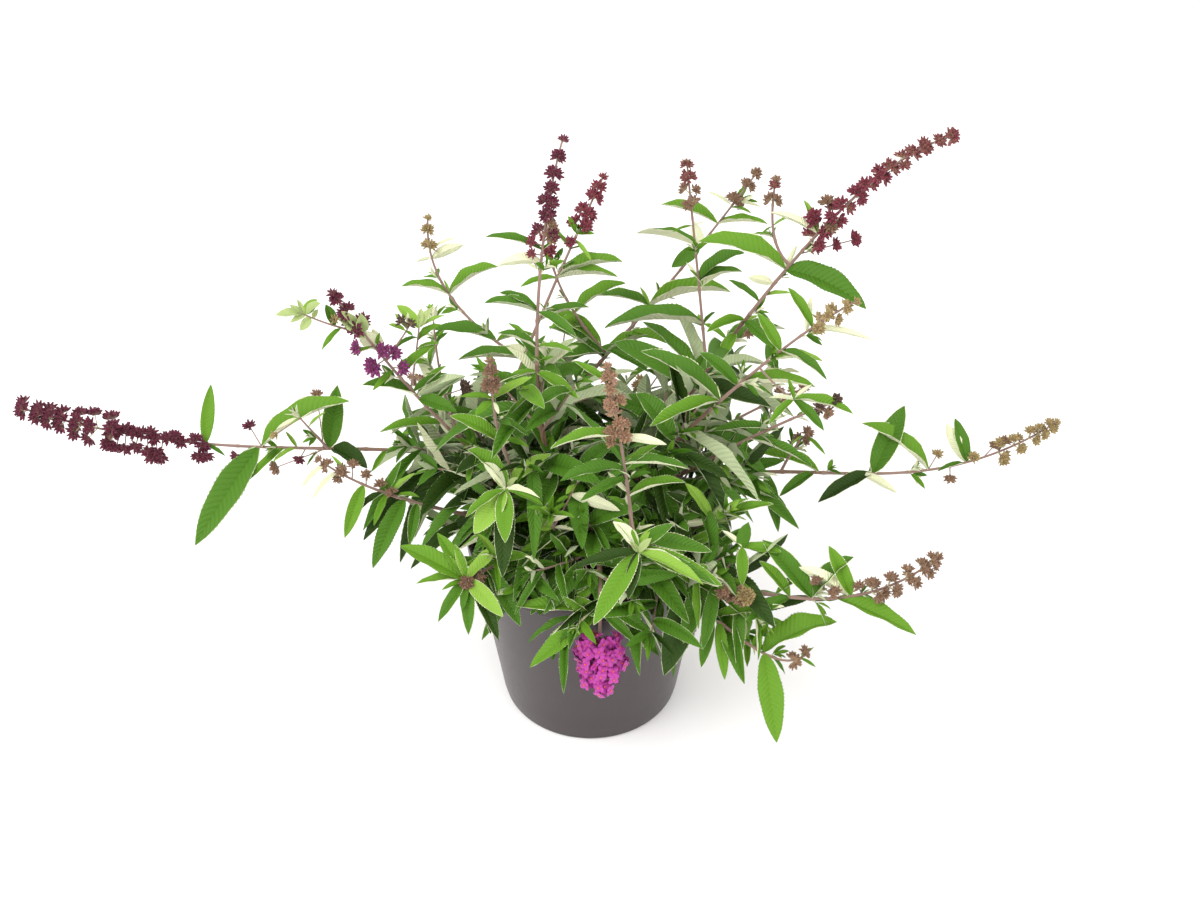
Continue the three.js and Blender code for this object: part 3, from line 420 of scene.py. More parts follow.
        (703, 543, 735, 577, 1.35, 12, 0.1, 1, 0.8), (717, 530, 724, 503, 1.1, 3, 0, 4, 0.6),
        (719, 530, 738, 518, 1.2, 5, 0, 4, 0.7),
    ),
    "right_small": (
        (750, 441, 812, 467, 0.8, 10, 0.2, 0.9, 0.2), (748, 443, 736, 474, 0.95, 8, 0.1, 0.6, 0.7),
        (765, 418, 711, 432, 0.8, 0, 0.2, 0.7, 0.2),
    ),
}

# Knots of calyces of the open shoots, by the line they hang on and their tint. Each row is where
# a stalk leaves its line, where the knot is, its reach in millimetres and its count of calyces.
OpenKnot = namedtuple("OpenKnot", "root_across root_down across down size count")
OPEN_KNOTS = (
    ("far_left", "wine", (
        (113, 440, 113, 428, 5.4, 9), (118, 441, 118, 432, 5.4, 9), (126, 442, 126, 430, 5.4, 9),
        (134, 443, 134, 433, 5.4, 9), (142, 444, 142, 434, 5.4, 9), (150, 445, 150, 434, 5.4, 9),
        (155, 445, 155, 438, 5.4, 9), (109, 440, 109, 442, 5.4, 9), (117, 441, 117, 445, 5.4, 9),
        (125, 442, 125, 447, 5.4, 9), (136, 443, 136, 445, 5.4, 9), (148, 444, 148, 449, 5.4, 9),
        (157, 445, 157, 451, 5.4, 9), (152, 445, 152, 456, 5.4, 9), (161, 446, 161, 457, 5.4, 9),
        (168, 447, 168, 438, 5.4, 9), (175, 448, 175, 438, 5.4, 9), (181, 448, 181, 442, 5.4, 9),
        (196, 450, 196, 440, 5.4, 9), (203, 451, 203, 446, 5.4, 9), (198, 450, 198, 455, 5.4, 9),
        (206, 451, 206, 455, 5.4, 9), (262, 448, 250, 427, 5, 9), (255, 449, 237, 456, 4.6, 8),
    )),
    ("far_left", "brown", ((325, 449, 277, 467, 5, 12),)),
    ("far_left", "wine", ((305, 449, 300, 458, 4.4, 8),)),
    ("far_left", "brown", ((325, 447, 317, 395, 4.4, 7),)),
    ("far_left 5", "olive", ((300, 417, 276, 434, 4, 6),)),
    ("left_low", "brown", (
        (395, 500, 392, 493, 4.4, 8), (380, 492, 380, 485, 4.4, 9), (366, 485, 366, 476, 4.2, 9),
        (352, 480, 353, 466, 4.2, 8),
    )),
    ("left_high", "purple", (
        (366, 340, 360, 325, 5, 9), (374, 347, 358, 348, 5, 9), (378, 350, 382, 350, 5.5, 10),
        (386, 358, 375, 366, 6.5, 14), (388, 360, 394, 354, 5, 9), (393, 366, 401, 368, 5, 9),
    )),
    ("left buds", "dry", ((408, 328, 402, 321, 4, 7), (404, 334, 410, 325, 4, 6))),
    ("left rosette", "olive", ((330, 326, 334, 320, 3.6, 6),)),
    ("right_high", "maroon", (
        (797, 252, 834, 245, 4.6, 9), (797, 252, 853, 240, 5.4, 14), (815, 228, 814, 217, 5.5, 12),
    )),
    ("right_high", "brown", (
        (822, 220, 830, 226, 5, 10), (828, 216, 827, 203, 5, 9), (745, 322, 748, 332, 4.4, 9),
    )),
    ("right_high", "olive", ((752, 308, 764, 322, 4, 7),)),
    ("right tuft", "dry", ((794, 400, 834, 400, 4.8, 12),)),
    ("right tuft", "brown", ((794, 400, 826, 412, 4.4, 10),)),
    ("far_right 6", "brown", ((805, 440, 807, 433, 4.4, 10),)),
    ("far_right", "olive", ((927, 471, 937, 455, 4.4, 9),)),
    ("far_right", "brown", ((950, 469, 950, 477, 4.4, 9),)),
    ("far_right", "olive", ((970, 465, 973, 458, 4.4, 9),)),
    ("far_right", "brown", ((985, 461, 993, 447, 4.2, 8),)),
    ("far_right", "olive", ((998, 455, 1004, 460, 4.2, 9),)),
    ("far_right", "brown", ((998, 455, 1005, 442, 4.2, 8),)),
    ("low_right", "brown", (
        (834, 601, 818, 581, 4.4, 9), (838, 601, 835, 593, 4.4, 9), (862, 595, 859, 587, 4.2, 8),
        (870, 592, 884, 592, 4.2, 8),
    )),
    ("front_right", "olive", ((745, 592, 745, 596, 5.5, 30),)),
    ("front_right", "dusky", ((735, 585, 727, 590, 4, 9),)),
    ("low_left", "brown", ((467, 581, 466, 582, 4.6, 26),)),
    ("hanging_right", "brown", ((802, 656, 805, 651, 3.6, 7),)),
    ("back_right", "brown", ((580, 450, 577, 457, 4.5, 12),)),
    ("right_middle", "dry", ((705, 462, 699, 461, 4, 8),)),
    ("left_high", "dry", ((436, 390, 463, 389, 5.5, 12),)),
    ("tall_middle", "maroon", ((541, 246, 533, 242, 4, 8), (541, 256, 533, 254, 3.8, 7))),
    ("tall_middle", "brown", ((541, 242, 550, 238, 4.6, 10), (541, 234, 552, 227, 4.2, 9))),
    ("back_left", "maroon", ((570, 247, 571, 243, 4.4, 9),)),
    ("front_middle", "dusky", ((612, 436, 614, 434, 4, 9), (615, 446, 612, 443, 3.6, 8))),
    ("fresh_flower", "maroon", ((597, 634, 595, 635, 4, 12), (597, 634, 601, 641, 4, 12))),
)

# ---------------------------------------------------------------- settings


def colour(label, about, default):
    return FloatVectorProperty(name=label, description=about, subtype="COLOR", size=3,
                               min=0, max=1, default=default)


def length(label, about, default):
    return FloatProperty(name=label, description=about, subtype="DISTANCE", unit="LENGTH",
                         min=0, precision=4, default=default)


def amount(label, about, default, least=0, most=1000, **kind):
    return FloatProperty(name=label, description=about, default=default, min=least, max=most,
                         **kind)


POT_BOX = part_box("pot")


class BushPotSettings(bpy.types.PropertyGroup):
    height: length("Height", "Height of the pot", POT_BOX[1].z)
    rim_radius: length("Rim radius", "Radius of the pot's rim", POT_BOX[1].x)
    foot_radius: length("Foot radius", "Radius of the pot's foot", 0.071)
    wall: length("Wall", "Thickness of the pot's wall", 0.0025)
    plastic: colour("Plastic", "Colour of the pot", (0.038, 0.028, 0.03))
    compost: colour("Compost", "Colour of the compost", (0.022, 0.013, 0.009))


class BushLeafSettings(bpy.types.PropertyGroup):
    width_ratio: amount("Width", "Width of a leaf by its length", 0.268, 0.1, 0.6)
    fold: amount("Fold", "Angle by which a leaf's halves fold up", 0.72, 0, 1.5, subtype="ANGLE")
    tooth: amount("Tooth", "Depth of the teeth by half the leaf's width", 0.035, 0, 0.3)
    # Deep green is partly the colour of old leaves, partly painted shade inside the bush.
    deep: colour("Deep green", "Old leaves inside the bush", (0.021, 0.053, 0.003))
    mid: colour("Mid green", "Full-grown leaves", (0.062, 0.165, 0.01))
    fresh: colour("Fresh green", "Leaves near the ends of shoots", (0.108, 0.245, 0.014))
    young: colour("Young green", "The youngest full leaves", (0.21, 0.37, 0.045))
    downy: colour("Downy green", "Leaves of the tip tufts, still felted", (0.36, 0.45, 0.17))
    felt: colour("Felt", "Felted underside and margin of a leaf", (0.7, 0.72, 0.47))
    worn_felt: colour("Worn felt", "Underside of an old leaf", (0.42, 0.49, 0.28))


class BushStemSettings(bpy.types.PropertyGroup):
    bark: colour("Bark", "Bark of the crown and boughs", (0.2, 0.12, 0.075))
    brown: colour("Brown stem", "Lower stems", (0.17, 0.10, 0.065))
    mauve: colour("Mauve stem", "Upper stems", (0.24, 0.15, 0.12))
    felt: colour("Felted stem", "Young stems near their tips", (0.5, 0.46, 0.28))


class BushFlowerSettings(bpy.types.PropertyGroup):
    floret: length("Floret width", "Width of an open floret", 0.0088)
    maroon: colour("Maroon", "Spent spikes that faded last", (0.19, 0.026, 0.046))
    wine: colour("Wine", "Spikes that faded a few days ago", (0.115, 0.012, 0.034))
    purple: colour("Purple", "Spikes that still hold colour", (0.2, 0.03, 0.13))
    brown: colour("Brown", "Dried spikes", (0.225, 0.13, 0.078))
    olive: colour("Olive", "Spikes that set seed", (0.32, 0.24, 0.1))
    straw: colour("Straw", "Foot of a dry calyx", (0.46, 0.33, 0.2))
    petal: colour("Petal", "Open florets", (0.4, 0.03, 0.28))
    eye: colour("Eye", "Middle of an open floret", (0.62, 0.1, 0.04))


class BushStageSettings(bpy.types.PropertyGroup):
    floor: colour("Floor", "Colour of the floor", (0.93, 0.92, 0.92))
    key: amount("Key light", "Power of the main soft light", 42)
    fill: amount("Fill light", "Power of the soft light from the right", 16)
    sky: amount("Surround", "Strength of the light from all round", 1.15, most=5)
    lens: amount("Lens", "Focal length in millimetres", 45, 10, 200)


# ---------------------------------------------------------------- lines that limbs follow


def mix(start, end, share):
    return start + (end - start) * share


def within(limits, share):
    return mix(limits[0], limits[1], share)


def polar(heading, distance, height):
    """The point at a heading and a distance from the plant's axis."""
    turn = math.radians(heading)
    return Vector((distance * math.cos(turn), distance * math.sin(turn), height))


def leaning(along, outward, angle):
    """A direction that leans from along towards outward by an angle in degrees."""
    return along * math.cos(math.radians(angle)) + outward * math.sin(math.radians(angle))


def halves(left, over, turn):
    """The directions out of a stem at a turn and on its other side."""
    return [leaning(left, over, turn + half) for half in (0, 180)]


class Bow:
    """A line from foot to tip, read by the share of its length. Its end turns up by lift."""

    def __init__(self, foot, middle, tip, lift=0, side=None):
        self.ends = [np.array(spot, float) for spot in (foot, middle, tip)]
        self.lift = lift
        run = Vector(tip) - Vector(foot)
        self.side = np.array(side or Vector((-run.y, run.x, 0)).normalized())
        self.ticks = np.linspace(0, 1, BOW_PARTS + 1)
        steps = np.linalg.norm(np.diff(self.spots_by_tick(self.ticks), axis=0), axis=1)
        self.walked = np.concatenate(([0], np.cumsum(steps)))
        self.length = float(self.walked[-1])

    def spots_by_tick(self, ticks):
        t = ticks[:, None]
        foot, middle, tip = self.ends
        spots = (1 - t) ** 2 * foot + 2 * t * (1 - t) * middle + t * t * tip
        spots[:, 2] += self.lift * ticks**BOW_TURN
        return spots

    def frames(self, shares):
        """Spots on the line with the directions along it, to its left and over it."""
        ticks = np.interp(np.asarray(shares, float) * self.length, self.walked, self.ticks)
        t = ticks[:, None]
        foot, middle, tip = self.ends
        along = 2 * (1 - t) * (middle - foot) + 2 * t * (tip - middle)
        along[:, 2] += self.lift * BOW_TURN * ticks ** (BOW_TURN - 1)
        along /= np.linalg.norm(along, axis=1)[:, None]
        left = self.side - along * (along @ self.side)[:, None]
        left /= np.linalg.norm(left, axis=1)[:, None]
        return self.spots_by_tick(ticks), along, left, np.cross(along, left)

    def frame(self, share):
        """The spot and the three directions at one share."""
        return [Vector(found[0]) for found in self.frames([share])]


def bow_of(shoot, foot):
    """The bow from a foot to a shoot's tip."""
    tip = polar(shoot.heading, shoot.reach, shoot.top)
    run = tip - foot
    run.z = 0
    run.normalize()
    side = Vector((-run.y, run.x, 0))
    middle = foot.lerp(tip, 0.5) + UP * 2 * shoot.arch + side * 2 * shoot.sway
    middle -= run * 2 * shoot.pull
    lift = getattr(shoot, "lift", 0)
    tip.z -= lift
    return Bow(foot, middle, tip, lift, side)


# ---------------------------------------------------------------- sight lines

EYE = Vector(CAMERA["place"]) / MM
TILT = math.radians(CAMERA["tilt"])
AHEAD = Vector((0, math.sin(TILT), -math.cos(TILT)))
ABOVE = Vector((0, math.cos(TILT), math.sin(TILT)))


def share_seen(line, across, down):
    """The share of a line that is seen nearest to a place in the view."""
    shares = np.linspace(0, 1, BOW_PARTS)
    off = line.frames(shares)[0] - np.array(EYE)
    depth = off @ np.array(AHEAD)
    seen_across = VIEW["across"] + VIEW["lens"] * off[:, 0] / depth
    seen_down = VIEW["down"] - VIEW["lens"] * (off @ np.array(ABOVE)) / depth
    return shares[np.argmin(np.hypot(seen_across - across, seen_down - down))]


def spot_seen(across, down, root, nearer):
    """The spot seen at a place in the view, as far off as root less some millimetres."""
    depth = (root - EYE).dot(AHEAD) - nearer
    right, low = (across - VIEW["across"]) / VIEW["lens"], (down - VIEW["down"]) / VIEW["lens"]
    return EYE + (AHEAD + Vector((right, 0, 0)) - ABOVE * low) * depth


# ---------------------------------------------------------------- the rule of growth


Blade = namedtuple("Blade", "root out face across length droop age width calm fold",
                   defaults=(1, 1, 1))
Limb = namedtuple("Limb", "line start end foot tip joints age")
Cluster = namedtuple("Cluster", "hub way size count tint")


class Bush:
    """Everything that has grown so far."""

    def __init__(self):
        self.boughs, self.stems, self.twigs = [], [], []
        self.blades, self.small_blades = [], []
        self.clusters, self.florets = [], []

    def add_twig(self, root, tip, foot, end, age, sag=0):
        """A thin straight twig, or one that sags by a share of its length."""
        line = Bow(root, root.lerp(tip, 0.5) - UP * sag * (tip - root).length, tip)
        self.twigs.append(Limb(line, 0, 1, foot, end, (), age))
        return line

    def add_leaf(self, blade, least):
        """A leaf, full or small by whether it is longer than the least."""
        (self.blades if blade.length > least else self.small_blades).append(blade)


def seeded(seed):
    """Numbers from 0 to 1 that are the same for the same seed on every run."""
    state = seed * SEED_SPREAD % 2**32
    while True:
        state = (state * 1664525 + 1013904223) % 2**32
        yield state / 2**32


def leaf(root, out, apex, size, droop, age):
    """A leaf that sets off from root along out, on a stem that grows along apex.

    Its age goes from 0, old and deep green, to 3, the youngest.
    """
    rising = max(0, out.z)
    face = (UP - out * out.z) * (1 - rising)
    face += (apex - out * apex.dot(out)) * (rising + LEAF_TWIST)
    face.normalize()
    return Blade(root, out, face, face.cross(out), size, droop, age, fold=1.3 - 0.5 * droop)


def grow(whole, line, shoot, bare, seed, open_from):
    """The pairs of leaves and the twigs of one shoot, by the same draws as the part's source.

    Past the share open_from they are left to the rows of open leaves. Returns the joints, as
    pairs of a share and a turn, and where the spike starts.
    """
    draw = seeded(seed)
    step = shoot.pitch / line.length
    spike_start = 1 - shoot.spike / line.length
    end = spike_start if shoot.spike else PAIR["last"]
    joints = []
    turn = 360 * next(draw)
    share = bare + step / 2
    while share < end:
        bush = whole if share < open_from else Bush()
        root, along, left, over = line.frame(share)
        way_up = (share - bare) / (1 - bare)
        largest = shoot.leaf * mix(1, PAIR["tip_vigour"], way_up)
        turn += PAIR["turn"] + PAIR["spread"] * (next(draw) - 0.5)
        for outward in halves(left, over, turn):
            out = leaning(along, outward, within(PAIR["opening"], next(draw)))
            size = largest * within(PAIR["size"], next(draw))
            droop = within(PAIR["droop"], next(draw))
            age = LEAF_AGE["first"] + LEAF_AGE["gain"] * way_up
            bush.blades.append(leaf(root, out, along, size, droop, age))
            sprouts = next(draw) < TWIG["chance"]
            reach = within(TWIG["length"], next(draw))
            if sprouts:
                grow_twig(bush, root, along, outward, reach, largest, draw, 1 + way_up)
        joints.append((share, turn))
        share += step
    return joints, spike_start


def grow_twig(bush, root, along, outward, reach, largest, draw, age):
    """A side twig: a short straight stem with a pair of leaves at its tip and a small one below."""
    way = leaning(along, outward, within(TWIG["lean"], next(draw)))
    way = (way + UP * TWIG["rise"]).normalized()
    tip = root + way * reach
    line = Bow(root, root.lerp(tip, 0.5), tip, 0, outward.cross(way).normalized())
    spot, _, left, over = line.frame(TWIG["leaf_at"])
    for half in (0, 180):
        outer = leaning(left, over, half + TWIG["leaf_spread"] * (next(draw) - 0.5))
        out = (way * TWIG["leaf_forward"] + outer * TWIG["leaf_outward"]).normalized()
        size = max(TWIG["leaf_min"], largest * within(TWIG["leaf_size"], next(draw)))
        droop = within(TWIG["leaf_droop"], next(draw))
        bush.blades.append(leaf(spot, out, way, size, droop, age))
        lower = leaning(over, left, TWIG["leaf_spread"] / 4 + half)
        lower = leaning(way, lower, TWIG["low_leaf_lean"])
        bush.small_blades.append(leaf(root.lerp(tip, TWIG["low_leaf_at"]), lower, way,
                                      size * TWIG["low_leaf_size"], droop, age + 0.5))
    bush.twigs.append(Limb(line, 0, 1, TWIG["foot"], TWIG["tip"], (), 1))
    tuft(bush, tip, way, left, TWIG["tuft"], 2, 2.6)


# ---------------------------------------------------------------- finer growth

GOLDEN_TURN = 137.508
# Growth that the part's source leaves out: angles in degrees, lengths in millimetres, and sizes
# and places as shares. A pair of numbers is a range.
TUFT = {"step": 1.6, "opening": (46, 16), "size": (1, 0.55), "droop": 0.12, "width": 1.25,
        "stray": 12, "by_size": 0.34}
SPRIG = {"bend": (-0.08, 0.14), "leafy": (0.3, 0.97), "stray": 15, "opening": (44, 70),
         "size": (0.85, 1.1), "taper": 0.66, "full": 30, "foot": 1.15, "tip": 0.6,
         "droop": (0.05, 0.4), "tuft_min": 10, "tuft_age": 2.6}
# What grows in the axils of a shoot, by chance: a tuft, a sprig or a stray cluster.
AXIL_TUFT = {"chance": 0.36, "open_chance": 0.5, "lean": 34, "stalk": (2, 5), "foot": 0.7,
             "tip": 0.5, "size": (9, 20), "age": 1.7}
AXIL_SPRIG = {"chance": (0.76, 0.4), "lean": (32, 50), "rise": 0.2, "size": (0.62, 0.4),
              "reach": (18, 42), "pitch": 12, "age": 1.2}
AXIL_CLUSTER = {"above": 0.93, "from": 0.4, "lean": 52, "rise": 0.3, "stalk": (8, 22), "reach": 4.2,
                "count": 9}
FOOT_SPRIG = {"at": (0.42, 0.7, 0.95), "lean": (36, 66), "rise": 0.18, "reach": (26, 58),
              "size": 0.92, "pitch": 18, "droop": (0.1, 0.6)}
STALK = {"foot": 0.5, "tip": 0.4, "least": 1, "sag": -0.04}
# A whorl of knots every step along a spike. It is as wide as the shoot's blunt end, with a flare
# at its foot that is wider on a long spike, and a stout one has longer calyces.
SPIKE = {"step": (12.5, 8.5), "step_size": (0.8, 1.2), "stray": 12, "lean": (64, 44),
         "lean_stray": 9, "stalk_size": (0.7, 1.2), "least_stalk": 0.4, "inset": 1.4,
         "long": 30, "long_flare": 7.5, "flare": 4, "end_width": 1.15, "stout": 9,
         "stout_size": 1.25, "slim_size": 1.08, "count": (13, 10), "size": (1, 0.8), "whorl": 8,
         "last": 2, "end": 0.7, "end_count": 9, "rust_from": 0.55, "fill": 0.6, "full_at": 15}
# Twigs, leaves and knots of the open shoots: thicknesses of a twig and of a stalk, how far a twig
# sags, how much nearer a knot is than its line, and its reach and count by those of its row.
OPEN_GROWTH = {"twig": (0.9, 0.6), "sag": 0.08, "full": 24, "stalk": (0.55, 0.45), "nearer": 3,
               "facing": 0.5, "reach": 1.2, "crowd": 1.4}

# Lengths of a spent calyx by its tint, in millimetres.
CALYX_LENGTH = {
    "maroon": 5.8, "wine": 5.8, "purple": 5.8, "rust": 5.6, "brown": 5, "olive": 4.9, "dusky": 5.2,
    "dry": 4.5,
}
# Knots of the open flower: where each is seen, how much nearer than its shoot, and its florets.
TRUSS = (
    (600, 643, 8, 2), (587, 642, 6, 4), (584, 652, 2, 4), (592, 653, 8, 3), (611, 640, 2, 4),
    (601, 654, 12, 4), (607, 659, 14, 4), (615, 652, 6, 4), (618, 663, 2, 4), (585, 667, 4, 4),
    (593, 664, 9, 3), (600, 671, 12, 4), (611, 674, 8, 4), (590, 680, 2, 3), (603, 687, 6, 5),
    (596, 677, 5, 3),
)
# How far the florets reach from the middle of their knot, how they lean out from it, and how
# much farther back its knots are on the side that faces away.
TRUSS_REACH = (3.6, 7.4)
TRUSS_SPREAD = {"lean": 74, "stray": 16, "facing": 0.8, "set_back": 4, "stalk": (0.6, 0.5)}
# Leaves of the open shoots: how far a back turns to the camera, how a fold and a width go with
# how squarely the leaf is shown, and how calm it lies.
SHOWN = {"back": (0.45, 1), "fold": (1.5, 0.4), "width": (1.3, 1), "calm": 0.3}
# Leaves of the rule keep this far off the middle of the open flower, in millimetres, and their
# tips this far above the floor.
CLEAR_OF_FLOWER = 33
LOWEST_TIP = 122


def tuft(bush, root, way, left, size, pairs, age):
    """Young leaves in crossed pairs that close round the tip of a stem."""
    over = way.cross(left)
    for pair in range(pairs):
        youth = pair / max(1, pairs - 1)
        turn = 90 * pair + TUFT["stray"] * math.sin(7 * root.x + pair)
        for outward in halves(left, over, turn):
            out = leaning(way, outward, within(TUFT["opening"], youth)).normalized()
            full, spot = size * within(TUFT["size"], youth), root + way * (TUFT["step"] * pair)
            grown = leaf(spot, out, way, full, TUFT["droop"], min(3, age + 0.5 * youth))
            bush.small_blades.append(grown._replace(width=TUFT["width"]))


def sprig(bush, root, way, reach, size, pitch, age, dice, droop=SPRIG["droop"]):
    """A leafy side shoot that bends up or sags a little, with crossed pairs and a tuft."""
    tip = root + way * reach
    line = Bow(root, root.lerp(tip, 0.5) + UP * reach * dice.uniform(*SPRIG["bend"]), tip)
    joints = []
    turn = dice.uniform(0, 180)
    count = max(1, int(reach / pitch))
    for step in range(count):
        share = within(SPRIG["leafy"], (step + 0.5) / count)
        spot, along, left, over = line.frame(share)
        turn += PAIR["turn"] + dice.uniform(-SPRIG["stray"], SPRIG["stray"])
        for outward in halves(left, over, turn):
            out = leaning(along, outward, dice.uniform(*SPRIG["opening"]))
            full = size * mix(1, SPRIG["taper"], step / count) * dice.uniform(*SPRIG["size"])
            blade = leaf(spot, out, along, full, dice.uniform(*droop), min(3, age + share))
            bush.add_leaf(blade, SPRIG["full"])
        joints.append((share, turn))
    bush.twigs.append(Limb(line, 0, 1, SPRIG["foot"], SPRIG["tip"], joints, 1 if age < 1 else 2))
    spot, along, left, _ = line.frame(1)
    end = max(SPRIG["tuft_min"], size * TUFT["by_size"])
    tuft(bush, spot, along, left, end, 3, min(SPRIG["tuft_age"], age + 1))


def stalked_cluster(bush, root, way, stalk, size, count, tint):
    """A knot of calyces at the end of its own thin stalk."""
    hub = root + way * stalk
    if stalk > STALK["least"]:
        bush.add_twig(root, hub, STALK["foot"], STALK["tip"], 2, STALK["sag"])
    bush.clusters.append(Cluster(hub, way, size, count, tint))


def fill_out(bush, line, joints, bare, shoot, dice, open_from):
    """Tufts, sprigs and stray clusters in the axils of one shoot."""
    for share, turn in joints:
        root, along, left, over = line.frame(share)
        way_up = (share - bare) / (1 - bare)
        is_open = share > open_from
        for outward in halves(left, over, turn):
            pick = dice.random()
            if pick < AXIL_TUFT["open_chance" if is_open else "chance"]:
                way = leaning(along, outward, AXIL_TUFT["lean"])
                spot = root + way * dice.uniform(*AXIL_TUFT["stalk"])
                bush.add_twig(root, spot, AXIL_TUFT["foot"], AXIL_TUFT["tip"], 2)
                size = dice.uniform(*AXIL_TUFT["size"])
                tuft(bush, spot, way, left, size, dice.choice((2, 3)), AXIL_TUFT["age"])
            elif is_open:
                continue
            elif pick < within(AXIL_SPRIG["chance"], way_up):
                way = leaning(along, outward, dice.uniform(*AXIL_SPRIG["lean"]))
                way = (way + UP * AXIL_SPRIG["rise"]).normalized()
                size = shoot.leaf * within(AXIL_SPRIG["size"], way_up)
                sprig(bush, root, way, dice.uniform(*AXIL_SPRIG["reach"]), size,
                      AXIL_SPRIG["pitch"], AXIL_SPRIG["age"], dice)
            elif pick > AXIL_CLUSTER["above"] and way_up > AXIL_CLUSTER["from"]:
                way = leaning(along, outward, AXIL_CLUSTER["lean"])
                way = (way + UP * AXIL_CLUSTER["rise"]).normalized()
                stalked_cluster(bush, root, way, dice.uniform(*AXIL_CLUSTER["stalk"]),
                                AXIL_CLUSTER["reach"], AXIL_CLUSTER["count"], shoot.tint)


def spike(bush, line, start, shoot, dice):
    """A spent flower spike: whorls of knots of calyces, smaller towards the tip."""
    start = max(start, 1 - DENSE.get(shoot.name, line.length) / line.length)
    span = line.length * (1 - start)
    walked, turn = 0.0, dice.uniform(0, 180)
    is_stout = shoot.blunt > SPIKE["stout"]
    largest = CALYX_LENGTH[shoot.tint] * SPIKE["stout_size" if is_stout else "slim_size"]
    flare = SPIKE["long_flare" if shoot.spike > SPIKE["long"] else "flare"]
    while walked < span - SPIKE["last"]:
        progress = walked / span
        spot, along, left, over = line.frame(start + (1 - start) * progress)
        width = mix(shoot.blunt + flare, shoot.blunt * SPIKE["end_width"], progress)
        size = largest * within(SPIKE["size"], progress)
        filled = min(1, SPIKE["fill"] + shoot.blunt / SPIKE["full_at"])
        count = round(within(SPIKE["count"], progress) * filled)
        is_rusty = shoot.name == "right_high" and progress > SPIKE["rust_from"]
        tint = "rust" if is_rusty else shoot.tint
        turn += 90 + dice.uniform(-SPIKE["stray"], SPIKE["stray"])
        knots = 4 if shoot.blunt >= SPIKE["whorl"] else dice.choice((2, 3))
        for knot in range(knots):
            outward = leaning(left, over, turn + 360 * knot / knots)
            stray = dice.uniform(-SPIKE["lean_stray"], SPIKE["lean_stray"])
            way = leaning(along, outward, within(SPIKE["lean"], progress) + stray)
            stalk = max(SPIKE["least_stalk"], width - size - SPIKE["inset"])
            stalk *= dice.uniform(*SPIKE["stalk_size"])
            stalked_cluster(bush, spot, way, stalk, size, count, tint)
        walked += within(SPIKE["step"], progress) * dice.uniform(*SPIKE["step_size"])
    spot, along, _, _ = line.frame(1)
    end = Cluster(spot, along, largest * SPIKE["end"], SPIKE["end_count"], shoot.tint)
    bush.clusters.append(end)


def fresh_truss(bush, line, start, dice):
    """The open flower: knots of florets on both sides of the hanging end of its shoot."""
    for across, down, nearer, florets in TRUSS:
        stem = line.frame(max(start, share_seen(line, across, down)))[0]
        for side in (nearer, -nearer - TRUSS_SPREAD["set_back"]):
            hub = spot_seen(across, down, stem, side)
            bush.add_twig(stem, hub, *TRUSS_SPREAD["stalk"], 2)
            facing = (EYE - hub).normalized() * math.copysign(TRUSS_SPREAD["facing"], side)
            way = ((hub - stem).normalized() + facing).normalized()
            aside = way.orthogonal().normalized()
            spin = dice.uniform(0, 360)
            for number in range(florets):
                lean = TRUSS_SPREAD["lean"] * math.sqrt((number + 0.2) / florets)
                apart = leaning(aside, way.cross(aside), spin + GOLDEN_TURN * number)
                stray = dice.uniform(-TRUSS_SPREAD["stray"], TRUSS_SPREAD["stray"])
                out = leaning(way, apart, lean + stray)
                reach = within(TRUSS_REACH, dice.random())
                bush.florets.append((hub, out, reach, dice.uniform(0, 90)))


def shown_leaf(root, tip, row):
    """A leaf from root to tip that shows its face, its edge or its back to the camera."""
    chord, droop, square = tip - root, row.droop, abs(row.show)
    rest = 1 - droop**2
    fall = droop * chord.z
    size = (fall + math.sqrt(fall**2 + rest * chord.length_squared)) / rest
    out = (chord + UP * droop * size) / size
    lean = row.show**2 if row.show > 0 else -within(SHOWN["back"], square)
    face = UP * (1 - abs(lean)) + (EYE - root).normalized() * lean
    face = (face - out * face.dot(out)).normalized()
    return Blade(root, out, face, face.cross(out), size, droop, row.age,
                 row.width * within(SHOWN["width"], square), SHOWN["calm"],
                 within(SHOWN["fold"], square))


def root_of(line, row):
    """The spot on a line where a row's twig, leaf or stalk is seen to leave it."""
    return line.frame(share_seen(line, row.root_across, row.root_down))[0]


def grow_open(bush, lines):
    """The twigs, leaves and knots of calyces that stand out on the open shoots."""
    for row in OPEN_TWIGS:
        root = root_of(lines[row.line], row)
        tip = spot_seen(row.tip_across, row.tip_down, root, row.nearer)
        lines[row.name] = bush.add_twig(root, tip, *OPEN_GROWTH["twig"], 1, OPEN_GROWTH["sag"])
    for name, rows in OPEN_LEAVES.items():
        for row in (OpenLeaf(*values) for values in rows):
            root = root_of(lines[name], row)
            tip = spot_seen(row.tip_across, row.tip_down, root, row.nearer)
            bush.add_leaf(shown_leaf(root, tip, row), OPEN_GROWTH["full"])
    for name, tint, rows in OPEN_KNOTS:
        for row in (OpenKnot(*values) for values in rows):
            root = root_of(lines[name], row)
            hub = spot_seen(row.across, row.down, root, OPEN_GROWTH["nearer"])
            bush.add_twig(root, hub, *OPEN_GROWTH["stalk"], 1)
            facing = (EYE - hub).normalized() * OPEN_GROWTH["facing"]
            way = ((hub - root).normalized() + facing).normalized()
            size, count = row.size * OPEN_GROWTH["reach"], round(row.count * OPEN_GROWTH["crowd"])
            bush.clusters.append(Cluster(hub, way, size, count, tint))


